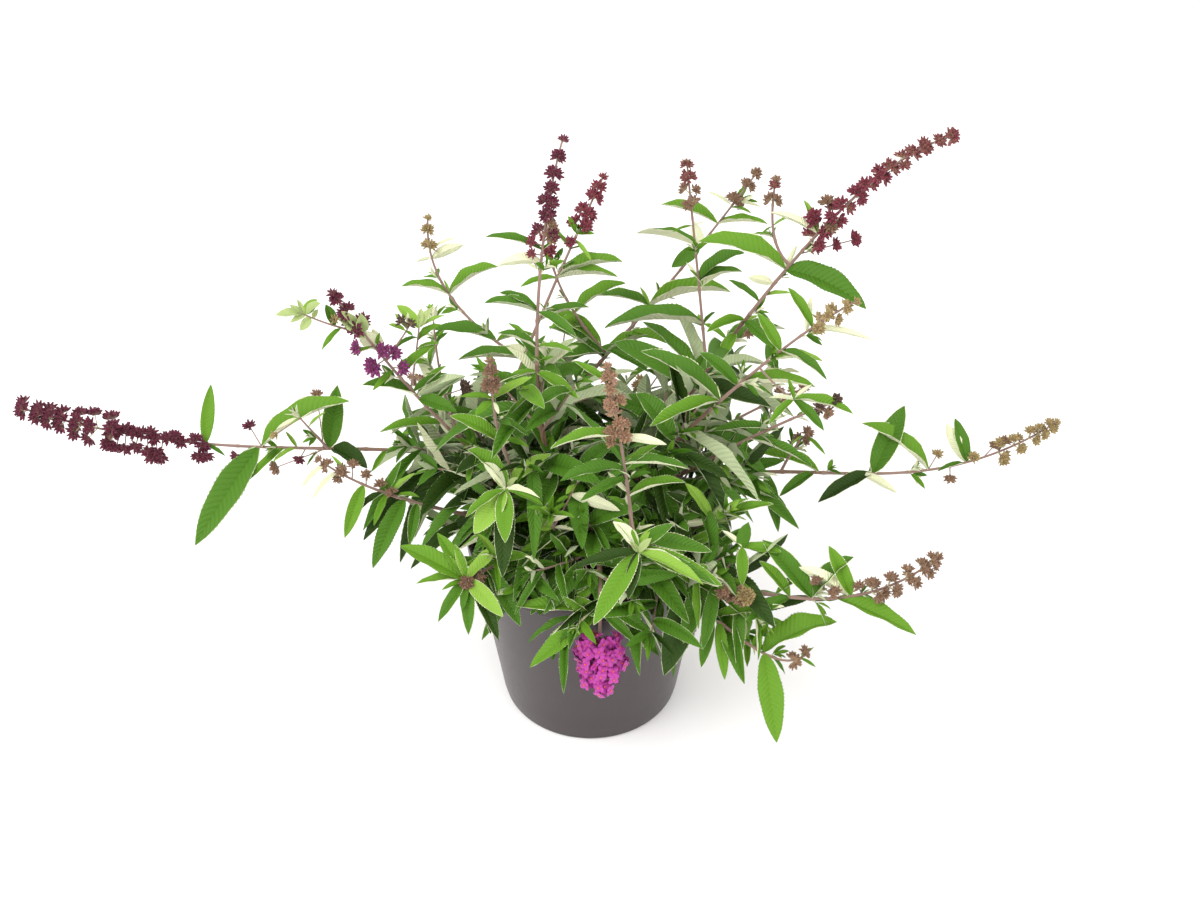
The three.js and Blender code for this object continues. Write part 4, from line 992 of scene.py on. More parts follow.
def clear_front(bush):
    """Leaves out the leaves of the rule that lie over the open flower or hang far below the rim."""
    middle = sum((floret[0] for floret in bush.florets), Vector()) / len(bush.florets)
    for blades in (bush.blades, bush.small_blades):
        tips = [blade.root + (blade.out - UP * blade.droop) * blade.length for blade in blades]
        blades[:] = [blade for blade, tip in zip(blades, tips) if blade.calm < 1 or (
            tip.z > LOWEST_TIP and (tip - middle).length > CLEAR_OF_FLOWER)]


def grow_bush():
    """Grows the whole bush from its crown."""
    bush, lines = Bush(), {}
    for index, shoot in enumerate(SHOOTS):
        dice = random.Random(index + 1)
        foot = polar(shoot.foot, BOUGH["inset"], CROWN_FOOT + TIERS[shoot.tier])
        line = bow_of(shoot, foot)
        bush.boughs.append(Limb(line, 0, shoot.bare, BOUGH["foot"], BOUGH["end"], (), 0))
        stem = Limb(line, shoot.bare, 1, STEM["foot"], STEM["tip"], (), 0)
        lines[shoot.name] = line
        grow_shoot(bush, shoot.name, shoot, stem, shoot.bare, index + 1, dice)
        fill_foot(bush, line, shoot, dice)
        for side_index, side in enumerate(SIDE_SHOOTS):
            if side.name == shoot.name:
                branch = bow_of(side, line.frame(side.fork)[0])
                stem = Limb(branch, 0, 1, SIDE_STEM["foot"], STEM["tip"], (), 1)
                name = f"{side.name} {side_index}"
                lines[name] = branch
                grow_shoot(bush, name, side, stem, SIDE_STEM["first_leaf"],
                           SIDE_SEED + side_index, dice)
    grow_open(bush, lines)
    clear_front(bush)
    return bush


def grow_shoot(bush, name, shoot, stem, bare, seed, dice):
    """The leaves of one shoot, what fills it out, and its tip."""
    open_from = OPEN_FROM.get(name, 2)
    joints, spike_start = grow(bush, stem.line, shoot, bare, seed, open_from)
    bush.stems.append(stem._replace(joints=joints))
    fill_out(bush, stem.line, joints, bare, shoot, dice, open_from)
    finish_tip(bush, stem.line, spike_start, shoot, dice)


def finish_tip(bush, line, start, shoot, dice):
    """A spike, an open flower or a tuft, as the shoot ends in."""
    if shoot.tint == "fresh":
        fresh_truss(bush, line, start, dice)
    elif shoot.spike:
        spike(bush, line, start, shoot, dice)
    else:
        spot, along, left, _ = line.frame(1)
        tuft(bush, spot, along, left, shoot.leaf * TUFT["by_size"], 4, 2)


def fill_foot(bush, line, shoot, dice):
    """Leafy sprigs from the bough, which hide the foot of the bush and hang over the rim."""
    for share in FOOT_SPRIG["at"]:
        spot, along, left, over = line.frame(share * shoot.bare)
        for outward in halves(left, over, dice.uniform(0, 360)):
            way = leaning(along, outward, dice.uniform(*FOOT_SPRIG["lean"]))
            way = (way + UP * FOOT_SPRIG["rise"]).normalized()
            reach, size = dice.uniform(*FOOT_SPRIG["reach"]), shoot.leaf * FOOT_SPRIG["size"]
            # Age 0 gives these low, inner leaves the deep green, which is partly painted shade.
            sprig(bush, spot, way, reach, size, FOOT_SPRIG["pitch"], 0, dice, FOOT_SPRIG["droop"])


# ---------------------------------------------------------------- meshes from many copies


class Master:
    """A small shape that is copied many times: its spots, corners, patterns and parts."""

    def __init__(self, shape):
        shape.verts.index_update()
        self.spots = np.array([vert.co for vert in shape.verts], float)
        self.corners = np.array([vert.index for face in shape.faces for vert in face.verts])
        self.totals = np.array([len(face.verts) for face in shape.faces])
        self.parts = np.array([face.material_index for face in shape.faces])
        self.pattern = self.spots[self.corners][:, :2]
        shape.free()


def joined(name, batches, materials, replaced=(), crease=38):
    """One mesh from batches of (master, placed spots of each copy, material of each part).

    The piece rides on the frame's only body and stands for the replaced nodes.
    """
    spots, corners, totals, finishes, patterns, first = [], [], [], [], [], 0
    for master, copies, parts in batches:
        count, size = len(copies), len(master.spots)
        spots.append(copies.reshape(-1, 3))
        shifts = first + size * np.arange(count)[:, None]
        corners.append((master.corners + shifts).ravel())
        totals.append(np.tile(master.totals, count))
        finishes.append(np.asarray(parts).reshape(count, -1)[:, master.parts].ravel())
        patterns.append(np.tile(master.pattern, (count, 1)))
        first += count * size
    spots, corners, totals, finishes, patterns = map(
        np.concatenate, (spots, corners, totals, finishes, patterns))

    mesh = bpy.data.meshes.new(name)
    mesh.vertices.add(len(spots))
    mesh.vertices.foreach_set("co", (spots * MM).astype(np.float32).ravel())
    mesh.loops.add(len(corners))
    mesh.loops.foreach_set("vertex_index", corners.astype(np.int32))
    mesh.polygons.add(len(totals))
    starts = np.concatenate(([0], np.cumsum(totals)[:-1]))
    mesh.polygons.foreach_set("loop_start", starts.astype(np.int32))
    mesh.polygons.foreach_set("material_index", finishes.astype(np.int32))
    for material in materials:
        mesh.materials.append(material)
    blade_map = mesh.uv_layers.new(name="Blade")
    blade_map.uv.foreach_set("vector", patterns.astype(np.float32).ravel())
    mesh.update(calc_edges=True)
    mesh.validate()
    mesh.shade_smooth()
    mesh.set_sharp_from_angle(angle=math.radians(crease))
    mount(name, mesh, replaced)


def dealt(name, master, copies, parts, materials, replaced=(), crease=38):
    """Copies of one shape joined into as many pieces as keep each under the triangle limit."""
    batch = PIECE_TRIANGLES // int(np.sum(master.totals - 2))
    for number, start in enumerate(range(0, len(copies), batch)):
        stretch = slice(start, start + batch)
        joined(f"{name}_{number + 1}", [(master, copies[stretch], parts[stretch])], materials,
               () if number else replaced, crease)


def mount(name, mesh, replaced=()):
    """Puts a finished mesh into the scene, on the frame's body and in place of CAD nodes."""
    piece = bpy.data.objects.new(name, mesh)
    bpy.context.scene.collection.objects.link(piece)
    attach(piece, "root")
    if replaced:
        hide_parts(*replaced)


def nodes_named(start):
    return sorted(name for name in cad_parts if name.startswith(start))


def upright_edges(shape, least=0.5):
    """The edges of a shape that climb by more than the least."""
    return [edge for edge in shape.edges if abs(edge.verts[0].co.z - edge.verts[1].co.z) > least]


def cone(shape, sides, foot, top, depth, part=0):
    """Adds a capped cone on the z axis as one part of a shape, and returns its corners."""
    known = set(shape.faces)
    verts = bmesh.ops.create_cone(shape, cap_ends=True, segments=sides, radius1=foot, radius2=top,
                                  depth=depth)["verts"]
    for face in set(shape.faces) - known:
        face.material_index = part
    return verts


# ---------------------------------------------------------------- finishes


class Finish:
    """A material whose base colour is plain, with relief and gloss from its nodes."""

    def __init__(self, name, base, roughness, specular=0.4):
        self.material = bpy.data.materials.new(name)
        self.material.use_nodes = True
        self.tree = self.material.node_tree
        self.shader = self.tree.nodes["Principled BSDF"]
        self.shader.inputs["Base Color"].default_value = (*base, 1)
        self.shader.inputs["Roughness"].default_value = roughness
        self.shader.inputs["Specular IOR Level"].default_value = specular
        self.place = self.node("ShaderNodeTexCoord").outputs["Object"]

    def node(self, kind, links=(), **values):
        """A node of a kind, with its inputs linked or set."""
        made = self.tree.nodes.new(kind)
        for key, value in values.items():
            setattr(made, key, value)
        for socket, source in links:
            if isinstance(source, bpy.types.NodeSocket):
                self.tree.links.new(source, made.inputs[socket])
            else:
                made.inputs[socket].default_value = source
        return made

    def math(self, operation, first, second=0.0):
        made = self.node("ShaderNodeMath", [(0, first), (1, second)], operation=operation)
        return made.outputs[0]

    def noise(self, scale, detail=3, rough=0.5, place=None):
        links = [("Vector", place or self.place), ("Scale", scale), ("Detail", detail),
                 ("Roughness", rough)]
        return self.node("ShaderNodeTexNoise", links).outputs["Fac"]

    def squeezed(self, across, along):
        """Coordinates that draw a pattern out along the plant's height."""
        links = [("Vector", self.place), ("Scale", (across, across, along))]
        return self.node("ShaderNodeMapping", links).outputs["Vector"]

    def span(self, value, low, high):
        """A value from 0 to 1 brought between two others."""
        links = [("Value", value), ("To Min", low), ("To Max", high)]
        return self.node("ShaderNodeMapRange", links).outputs["Result"]

    def gloss(self, value, low, high):
        self.tree.links.new(self.span(value, low, high), self.shader.inputs["Roughness"])

    def tone(self, value, dark, light):
        """A base colour that goes from dark to light by a value."""
        made = self.node("ShaderNodeMix", [(0, value), (6, (*dark, 1)), (7, (*light, 1))],
                         data_type="RGBA")
        self.tree.links.new(made.outputs[2], self.shader.inputs["Base Color"])

    def relief(self, *layers):
        """Bumps on bumps from (height, strength, depth in metres)."""
        below = None
        for height, strength, depth in layers:
            links = [("Height", height), ("Strength", strength), ("Distance", depth)]
            bump = self.node("ShaderNodeBump", links + ([("Normal", below)] if below else []))
            below = bump.outputs["Normal"]
        self.tree.links.new(below, self.shader.inputs["Normal"])


def shaded(base, factor):
    return tuple(min(1, part * factor) for part in base)


def blend(first, second, share):
    """A colour between two others."""
    return tuple(mix(one, other, share) for one, other in zip(first, second))


VEINS = {"count": 17, "forward": 1.9, "depth": 0.001}


def leaf_finish(name, base, roughness, veins, sheen):
    """Leaf tissue: side veins that run forward from the midrib, over a fine pebbled grain."""
    made = Finish(name, base, roughness, 0.22)
    blade = made.node("ShaderNodeUVMap", uv_map="Blade").outputs["UV"]
    parts = made.node("ShaderNodeSeparateXYZ", [("Vector", blade)])
    share, across = parts.outputs["X"], parts.outputs["Y"]
    forward = made.math("MULTIPLY", made.math("ABSOLUTE", across), VEINS["forward"])
    phase = made.math("SUBTRACT", made.math("MULTIPLY", share, VEINS["count"]), forward)
    half_turns = made.math("MULTIPLY", made.math("MULTIPLY", phase, math.tau), 0.5)
    pillow = made.math("ABSOLUTE", made.math("SINE", half_turns))
    made.relief((pillow, veins, VEINS["depth"]), (made.noise(800, 4, 0.6), 0.5, 0.0007))
    made.gloss(made.noise(420, 2), roughness - 0.1, roughness + 0.14)
    made.shader.inputs["Sheen Weight"].default_value = sheen
    return made.material


def stem_finish(name, base, roughness=0.62):
    made = Finish(name, base, roughness)
    streaks = made.noise(1, 4, 0.6, made.squeezed(2200, 420))
    made.relief((streaks, 0.5, 0.0004), (made.noise(3200, 2), 0.3, 0.0002))
    made.gloss(made.noise(300, 2), roughness - 0.1, roughness + 0.15)
    made.shader.inputs["Sheen Weight"].default_value = 0.15
    return made.material


def petal_finish(name, base, roughness=0.6):
    made = Finish(name, base, roughness)
    made.relief((made.noise(2600, 3, 0.6), 0.4, 0.0003))
    made.gloss(made.noise(700, 2), roughness - 0.12, roughness + 0.12)
    made.shader.inputs["Sheen Weight"].default_value = 0.06
    return made.material


def bark_finish(base):
    """Thin stringy bark: dark furrows between paler peeling strips."""
    made = Finish("Bush bark", base, 0.8)
    strips = made.noise(1, 6, 0.65, made.squeezed(900, 130))
    flakes = made.noise(1400, 3)
    made.tone(made.span(strips, -0.5, 1.5), shaded(base, 0.35), shaded(base, 1.9))
    made.relief((strips, 0.9, 0.0012), (flakes, 0.4, 0.0004))
    made.gloss(flakes, 0.7, 0.95)
    return made.material


def plastic_finish(base):
    """Thin moulded plastic: satin, finely grained, a little dusty and scuffed."""
    made = Finish("Pot plastic", base, 0.4, 0.4)
    cloud = made.noise(14, 5, 0.6)
    dust = made.noise(160, 5, 0.75)
    bloom = made.math("ADD", made.math("MULTIPLY", cloud, 0.6), made.math("MULTIPLY", dust, 0.4))
    made.tone(bloom, shaded(base, 0.82), shaded(base, 1.22))
    drawn = made.noise(1, 3, 0.5, made.squeezed(300, 22))
    made.relief((made.noise(2600, 2), 0.16, 0.0002), (drawn, 0.2, 0.0003))
    made.gloss(dust, 0.26, 0.44)
    return made.material


def compost_finish(name, base):
    """Damp peat and fibre."""
    made = Finish(name, base, 0.9, 0.3)
    crumbs = made.noise(380, 8, 0.7)
    made.tone(made.span(crumbs, -0.6, 1.6), shaded(base, 0.4), shaded(base, 2.6))
    made.relief((crumbs, 1, 0.002), (made.noise(1900, 4, 0.6), 0.6, 0.0006))
    made.gloss(crumbs, 0.75, 1)
    return made.material


# ---------------------------------------------------------------- pot and compost


def spun(profile, sides):
    """A closed turned body from [radius, height] pairs that start and end on the axis."""
    shape = bmesh.new()
    verts = [shape.verts.new((radius * MM, 0, height * MM)) for radius, height in profile]
    edges = [shape.edges.new(pair) for pair in zip(verts, verts[1:])]
    bmesh.ops.spin(shape, geom=verts + edges, cent=(0, 0, 0), axis=(0, 0, 1), dvec=(0, 0, 0),
                   angle=math.tau, steps=sides, use_merge=True)
    bmesh.ops.remove_doubles(shape, verts=shape.verts, dist=1e-6)
    bmesh.ops.recalc_face_normals(shape, faces=shape.faces)
    return shape


def arc(centre, radius, start, end, steps=5):
    """Points of a round edge, by angle in degrees."""
    turns = [math.radians(mix(start, end, step / steps)) for step in range(steps + 1)]
    return [(centre[0] + radius * math.cos(turn), centre[1] + radius * math.sin(turn))
            for turn in turns]


class PotShape:
    """Radii of the pot by height, in millimetres."""

    def __init__(self, settings):
        self.height, self.rim = settings.height / MM, settings.rim_radius / MM
        self.foot, self.wall = settings.foot_radius / MM, settings.wall / MM

    def outside(self, height):
        return mix(self.foot, self.rim - POT_LIP["proud"], height / self.height)

    def inside(self, height):
        return self.outside(height) - self.wall

    def clears(self, spots, room):
        """Whether spots keep off the wall and the compost by some room."""
        reach, height = np.hypot(spots[:, 0], spots[:, 1]), spots[:, 2]
        under_rim = height < self.height + room
        by_lip = height > self.height - POT_LIP["height"] - POT_LIP["below"]
        lip = by_lip * POT_LIP["proud"]
        in_wall = (reach > self.inside(height) - room) & (reach < self.outside(height) + lip + room)
        in_soil = (reach < self.rim) & (height < SOIL["surface"] + room)
        low = height < OFF_FLOOR
        return not np.any((under_rim & in_wall) | in_soil | low)


DRAIN_HOLES = {"count": 8, "inner": 46, "outer": 57, "steps": 5}
FOOT_RING = {"recess": 0.8, "inner": 62, "outer": 63.5, "gate": 4, "wall": 8}


def pot_profile(pot):
    """The pot's section: recessed underside, rounded foot, straight wall, proud lip, rolled rim."""
    lip_foot, lip = pot.height - POT_LIP["height"], pot.rim - POT_LIP["taper"]
    recess, gate = FOOT_RING["recess"], FOOT_RING["gate"]
    foot = [(0, recess + 0.4), (gate, recess + 0.4), (gate + 0.6, recess),
            (DRAIN_HOLES["inner"], recess), (DRAIN_HOLES["outer"], recess),
            (FOOT_RING["inner"], recess), (FOOT_RING["outer"], 0)]
    foot += arc((pot.foot - POT_FOOT_ROUND, POT_FOOT_ROUND), POT_FOOT_ROUND, -90, 0)
    heights = np.linspace(FOOT_RING["wall"], lip_foot - POT_LIP["blend"], 14)
    wall = [(pot.outside(height), height) for height in heights]
    under_lip = [(pot.outside(lip_foot - 2), lip_foot - 2.2),
                 (pot.outside(lip_foot) + 0.5, lip_foot - 1.4),
                 (lip - 0.6, lip_foot - 0.2), (lip, lip_foot + 0.6)]
    rim = arc((pot.rim - POT_LIP["round"], pot.height - POT_LIP["round"]), POT_LIP["round"], 0, 90)
    rim += [(pot.inside(pot.height) + 0.8, pot.height), (pot.inside(pot.height), pot.height - 0.8)]
    heights = np.linspace(pot.height - 4, POT_FLOOR + 1.2, 12)
    inside = [(pot.inside(height), height) for height in heights]
    floor = [(pot.inside(POT_FLOOR) - 1.2, POT_FLOOR), (DRAIN_HOLES["outer"], POT_FLOOR),
             (DRAIN_HOLES["inner"], POT_FLOOR), (0, POT_FLOOR)]
    return foot + wall + under_lip + rim + inside + floor


def drill(shape):
    """Opens the drain holes through the pot's floor."""
    sector = math.tau / DRAIN_HOLES["count"]
    half = DRAIN_HOLES["steps"] * math.tau / POT_SIDES / 2
    for number in range(DRAIN_HOLES["count"]):
        middle = number * sector + half
        opened = []
        for face in shape.faces:
            spot = face.calc_center_median()
            reach = math.hypot(spot.x, spot.y) / MM
            off = (math.atan2(spot.y, spot.x) - middle + math.pi) % math.tau - math.pi
            in_band = DRAIN_HOLES["inner"] < reach < DRAIN_HOLES["outer"]
            if spot.z / MM < POT_FLOOR + 0.1 and in_band and abs(off) < half:
                opened.append(face)
        bmesh.ops.delete(shape, geom=opened, context="FACES")
        bmesh.ops.bridge_loops(shape, edges=[edge for edge in shape.edges if edge.is_boundary])


def mesh_of(name, shape, material, crease):
    mesh = bpy.data.meshes.new(name)
    shape.to_mesh(mesh)
    shape.free()
    mesh.materials.append(material)
    mesh.shade_smooth()
    mesh.set_sharp_from_angle(angle=math.radians(crease))
    return mesh


class BUSH_OT_pot(bpy.types.Operator):
    """Turn the nursery pot"""

    bl_idname = "bush.pot"
    bl_label = "Nursery pot"

    def execute(self, context):
        settings = context.scene.bush_pot
        shape = spun(pot_profile(PotShape(settings)), POT_SIDES)
        drill(shape)
        mesh = mesh_of("nursery_pot", shape, plastic_finish(settings.plastic), 32)
        mount("nursery_pot", mesh, ["pot"])
        return {"FINISHED"}


# Loose crumbs: their sizes in millimetres, their depth and height by their width, how lumpy they
# are, their tints by chance, and how much paler a chip of bark is.
CRUMBS = {"count": 1500, "size": (0.7, 2.6), "depth": (0.5, 1), "height": (0.3, 0.6),
          "lump": 0.5, "lumps": 1.7, "inmost": 0.02, "tints": (0, 0, 0, 1), "pale": 3.2, "seed": 5}
# Relief of the compost's surface: how often it rises and falls, and by how many millimetres.
CLODS = ((160, 0.9), (430, 0.5))


def crumb_master():
    shape = bmesh.new()
    bmesh.ops.create_icosphere(shape, subdivisions=1, radius=1)
    for vert in shape.verts:
        vert.co *= 1 + CRUMBS["lump"] * noise.noise(vert.co * CRUMBS["lumps"])
    return Master(shape)


class BUSH_OT_compost(bpy.types.Operator):
    """Fill the pot with crumbly compost"""

    bl_idname = "bush.compost"
    bl_label = "Compost"

    def execute(self, context):
        settings = context.scene.bush_pot
        pot = PotShape(settings)
        bottom = POT_FLOOR + CLEARANCE
        edge = pot.inside(SOIL["surface"]) - CLEARANCE
        profile = [(0, bottom), (pot.inside(bottom) - CLEARANCE, bottom),
                   (edge, SOIL["surface"] - SOIL["edge_dip"])]
        rings = np.linspace(edge - 2, 0, SOIL["rings"])
        profile += [(reach, self.height(reach, edge)) for reach in rings]
        shape = spun(profile, SOIL["sides"])
        for vert in shape.verts:
            reach, height = math.hypot(vert.co.x, vert.co.y) / MM, vert.co.z / MM
            if height > SOIL["surface"] - 3 and reach < edge - 1:
                vert.co.z += sum(rise * noise.noise(vert.co * often) for often, rise in CLODS) * MM
        material = compost_finish("Compost", settings.compost)
        mount("compost", mesh_of("compost", shape, material, 70), ["soil"])
        self.scatter(settings, edge)
        return {"FINISHED"}

    @staticmethod
    def height(reach, edge):
        """The compost's level: a low mound round the stem that falls to the wall."""
        rise = np.interp(reach, [0, SOIL["mound_radius"], SOIL["dome_radius"], edge],
                         [SOIL["dome"], SOIL["dome"], 0, -SOIL["edge_dip"]])
        return SOIL["surface"] + float(rise)

    def scatter(self, settings, edge):
        """Crumbs and chips of bark on the surface."""
        dice = random.Random(CRUMBS["seed"])
        master = crumb_master()
        copies, parts = [], []
        for _ in range(CRUMBS["count"]):
            reach = (edge - 2) * math.sqrt(dice.uniform(CRUMBS["inmost"], 1))
            turn = dice.uniform(0, math.tau)
            size = within(CRUMBS["size"], dice.random() ** 3)
            sides = Vector((size, size * dice.uniform(*CRUMBS["depth"]),
                            size * dice.uniform(*CRUMBS["height"])))
            level = self.height(reach, edge)
            spot = Vector((reach * math.cos(turn), reach * math.sin(turn), level))
            place = np.array(Matrix.LocRotScale(spot, Euler((0, 0, turn * 7)), sides))
            copies.append(master.spots @ place[:3, :3].T + place[:3, 3])
            parts.append([dice.choice(CRUMBS["tints"])])
        chips = compost_finish("Bark chips", shaded(settings.compost, CRUMBS["pale"]))
        materials = [bpy.data.materials["Compost"], chips]
        joined("compost_crumbs", [(master, np.array(copies), parts)], materials)


# ---------------------------------------------------------------- bark, stems and twigs


def tube_master(sides, rings):
    """A capped tube with straight sides, whose parts are its rings from foot to tip."""
    shape = bmesh.new()
    cone(shape, sides, 1, 1, 1)
    if rings > 1:
        bmesh.ops.subdivide_edges(shape, edges=upright_edges(shape), cuts=rings - 1)
    for face in shape.faces:
        level = face.calc_center_median().z + 0.5
        face.material_index = min(rings - 1, int(level * rings))
    return Master(shape)


def rings_of(master, rings):
    """The ring that each spot of a tube is on."""
    return np.rint((master.spots[:, 2] + 0.5) * rings).astype(int)


def placed_tube(master, limb, shares, radii):
    """A tube's spots: its rings set along a limb at some shares, each spot at its radius."""
    which = rings_of(master, len(shares) - 1)
    spots, _, left, over = limb.line.frames(shares)
    x, y = master.spots[:, :1] * radii[:, None], master.spots[:, 1:2] * radii[:, None]
    return spots[which] + left[which] * x + over[which] * y


JOINT = {"swell": 0.3, "width": 1.6, "guard": 1.8}


def ring_shares(limb, spacing):
    """Shares of the rings of a limb: evenly spaced, and close together at its joints."""
    length_of, guard = limb.line.length, JOINT["guard"]
    count = int(length_of * (limb.end - limb.start) / spacing) + 1
    shares = list(np.linspace(limb.start, limb.end, max(2, count)))
    for joint, _ in limb.joints:
        shares += [joint + shift / length_of for shift in (-guard, 0, guard)]
    shares = sorted(share for share in shares if limb.start <= share <= limb.end)
    kept = [shares[0]]
    for share in shares[1:]:
        if (share - kept[-1]) * length_of > 0.4 * guard:
            kept.append(share)
    return np.array(kept)


def swollen(limb, shares):
    """Radii along a limb that tapers and swells at its joints."""
    way = (shares - limb.start) / (limb.end - limb.start)
    radii = mix(limb.foot, limb.tip, way)
    for joint, _ in limb.joints:
        off = (shares - joint) * limb.line.length / JOINT["width"]
        radii = radii * (1 + JOINT["swell"] * np.exp(-off * off))
    return radii


def tubes(limbs, sides, spacing):
    """Batches of tubes, one for each limb, with a tint for each ring."""
    batches = []
    masters = {}
    for limb in limbs:
        shares = ring_shares(limb, spacing)
        rings = len(shares) - 1
        if rings not in masters:
            masters[rings] = tube_master(sides, rings)
        master = masters[rings]
        spots = placed_tube(master, limb, shares, swollen(limb, shares)[rings_of(master, rings)])
        batches.append((master, spots[None], [stem_tint(limb, share) for share in shares[1:]]))
    return batches


def furrows(spots, angle, along):
    """Relief of bark at an angle round a limb and a way along it: long ridges and furrows."""
    return np.array([
        noise.noise(Vector((2.2 * math.cos(turn) + seat, 2.2 * math.sin(turn), way * 0.09)))
        + 0.5 * noise.noise(Vector((4.5 * math.cos(turn), 4.5 * math.sin(turn) + seat, way * 0.3)))
        for turn, way, seat in zip(angle, along, spots)])


# The relief of the bark: how far it lifts and sinks by the limb's radius, the flare of a bough's
# foot and the length over which it fades, and the spacing of the rings.
BARK = {"bough": 0.13, "crown": 0.1, "flare": 0.5, "fade": 7, "spacing": 1.8}


class BUSH_OT_bark(bpy.types.Operator):
    """Build the crown and the bare boughs with the relief of their bark"""

    bl_idname = "bush.bark"
    bl_label = "Crown and boughs"

    def execute(self, context):
        batches = [self.crown()]
        for number, limb in enumerate(grow_bush().boughs):
            rings = int(limb.line.length * limb.end / BARK["spacing"]) + 1
            shares = np.linspace(0, limb.end, rings + 1)
            walked = shares * limb.line.length
            master = tube_master(12, rings)
            which = rings_of(master, rings)
            angle = np.arctan2(master.spots[:, 1], master.spots[:, 0])
            relief = furrows(np.full(len(which), 3.7 * number), angle, walked[which])
            flare = 1 + BARK["flare"] * np.exp(-walked / BARK["fade"])
            radii = (mix(limb.foot, limb.tip, shares / limb.end) * flare)[which]
            spots = placed_tube(master, limb, shares, radii * (1 + BARK["bough"] * relief))
            batches.append((master, spots[None], [0] * rings))
        bark = bark_finish(context.scene.bush_stems.bark)
        joined("crown_and_boughs", batches, [bark], ["crown", *nodes_named("bough_")], 75)
        return {"FINISHED"}

    @staticmethod
    def crown():
        """The short woody stem, with a fluted flare and a rough top."""
        profile = [(0, CROWN_FOOT), *[(reach, CROWN_FOOT + level) for reach, level in CROWN],
                   (0, CROWN_FOOT + CROWN[-1][1] + CROWN_CREST)]
        shape = spun(profile, 40)
        bmesh.ops.scale(shape, vec=[1 / MM] * 3, verts=shape.verts)
        bmesh.ops.subdivide_edges(shape, edges=upright_edges(shape, 0.8), cuts=5)
        for vert in shape.verts:
            if vert.co.xy.length > 0.1 and vert.co.z > CROWN_FOOT + 0.1:
                turn = math.atan2(vert.co.y, vert.co.x)
                vert.co.xy *= 1 + BARK["crown"] * furrows([0.0], [turn], [vert.co.z * 2])[0]
        master = Master(shape)
        return master, master.spots[None], [0]


def stem_tint(limb, share):
    """Brown wood low down, mauve stems above, felt on the youngest."""
    if limb.age == 0:
        return 0 if share < 0.5 else 1
    if limb.age == 1:
        return 1
    return 2


class BUSH_OT_stems(bpy.types.Operator):
    """Build the leafy stems, side shoots, twigs and flower stalks"""

    bl_idname = "bush.stems"
    bl_label = "Stems and twigs"

    def execute(self, context):
        bush = grow_bush()
        look = context.scene.bush_stems
        materials = [stem_finish("Brown stem", look.brown), stem_finish("Mauve stem", look.mauve),
                     stem_finish("Felted stem", look.felt, 0.8)]
        joined("stems", tubes(bush.stems, 8, 4.5), materials)
        joined("twigs", tubes(bush.twigs, 5, 7), materials)
        return {"FINISHED"}


# ---------------------------------------------------------------- leaves

# Spans along a leaf, places across it and teeth on each span. Young leaves have no teeth.
LEAF_SPANS, YOUNG_SPANS, LEAF_TEETH, MARGIN = 8, 5, 3, 0.95
LEAF_COLUMNS, YOUNG_COLUMNS = (-1, -MARGIN, -0.5, 0, 0.5, MARGIN, 1), (-1, 0, 1)
# How far a tooth's tip leans towards the leaf's, by half the tooth's width.
TOOTH_LEAN = 0.3
LEAF_OUTLINE = {"root": 0.66, "tip": 0.84, "stalk": 0.06}
LEAF_BODY = {"thickness": 0.0045, "wave": 0.1, "waves": 2.5, "twist": 0.5, "curl": 0.1,
             "roll": 0.36, "width": 0.12, "crown": 0.35, "flatter": 0.3, "fold": 0.5}
# Tissues of the leaves: name, setting of their colour, roughness, depth of the veins and sheen.
# The first four go from old to young; the deep green of the first is partly painted shade.
LEAF_TISSUES = (
    ("Deep leaf", "deep", 0.55, 0.45, 0), ("Mid leaf", "mid", 0.55, 0.45, 0),
    ("Fresh leaf", "fresh", 0.57, 0.4, 0), ("Young leaf", "young", 0.6, 0.3, 0),
    ("Leaf felt", "felt", 0.85, 0.5, 0.2), ("Worn leaf felt", "worn_felt", 0.85, 0.5, 0.15),
    ("Downy leaf", "downy", 0.8, 0.4, 0.15),
)
YOUNG, FELT, WORN_FELT, DOWNY = 3, 4, 5, 6
# A leaf that would meet the pot is tried again with less droop, then with more. Its root may be
# close to the wall, and the rest keeps some room.
LEAF_FIT = {"lifts": (0, 0.15, 0.35, 0.6, -0.3, -0.7), "root": 4, "room": 1.2}


def leaf_side(spans, columns, teeth, tooth):
    """One side of a leaf on share (x) and width (y), its long edges toothed."""
    side = bmesh.new()
    bmesh.ops.create_grid(side, x_segments=spans, y_segments=len(columns) - 1, size=0.5)
    for vert in side.verts:
        place = round((vert.co.y + 0.5) * (len(columns) - 1))
        vert.co.x += 0.5
        vert.co.y = columns[place]
    if teeth:
        edges = [edge for edge in side.edges if abs(sum(vert.co.y for vert in edge.verts)) > 1.99]
        bmesh.ops.subdivide_edges(side, edges=edges, cuts=2 * teeth - 1)
        steps = 2 * spans * teeth
        for vert in side.verts:
            step = round(vert.co.x * steps)
            if abs(vert.co.y) > 0.999:
                is_tip = step % 2
                vert.co.y *= 1 + tooth if is_tip else 1 - tooth
                vert.co.x += TOOTH_LEAN * is_tip / steps * (0 < step < steps)
    return side


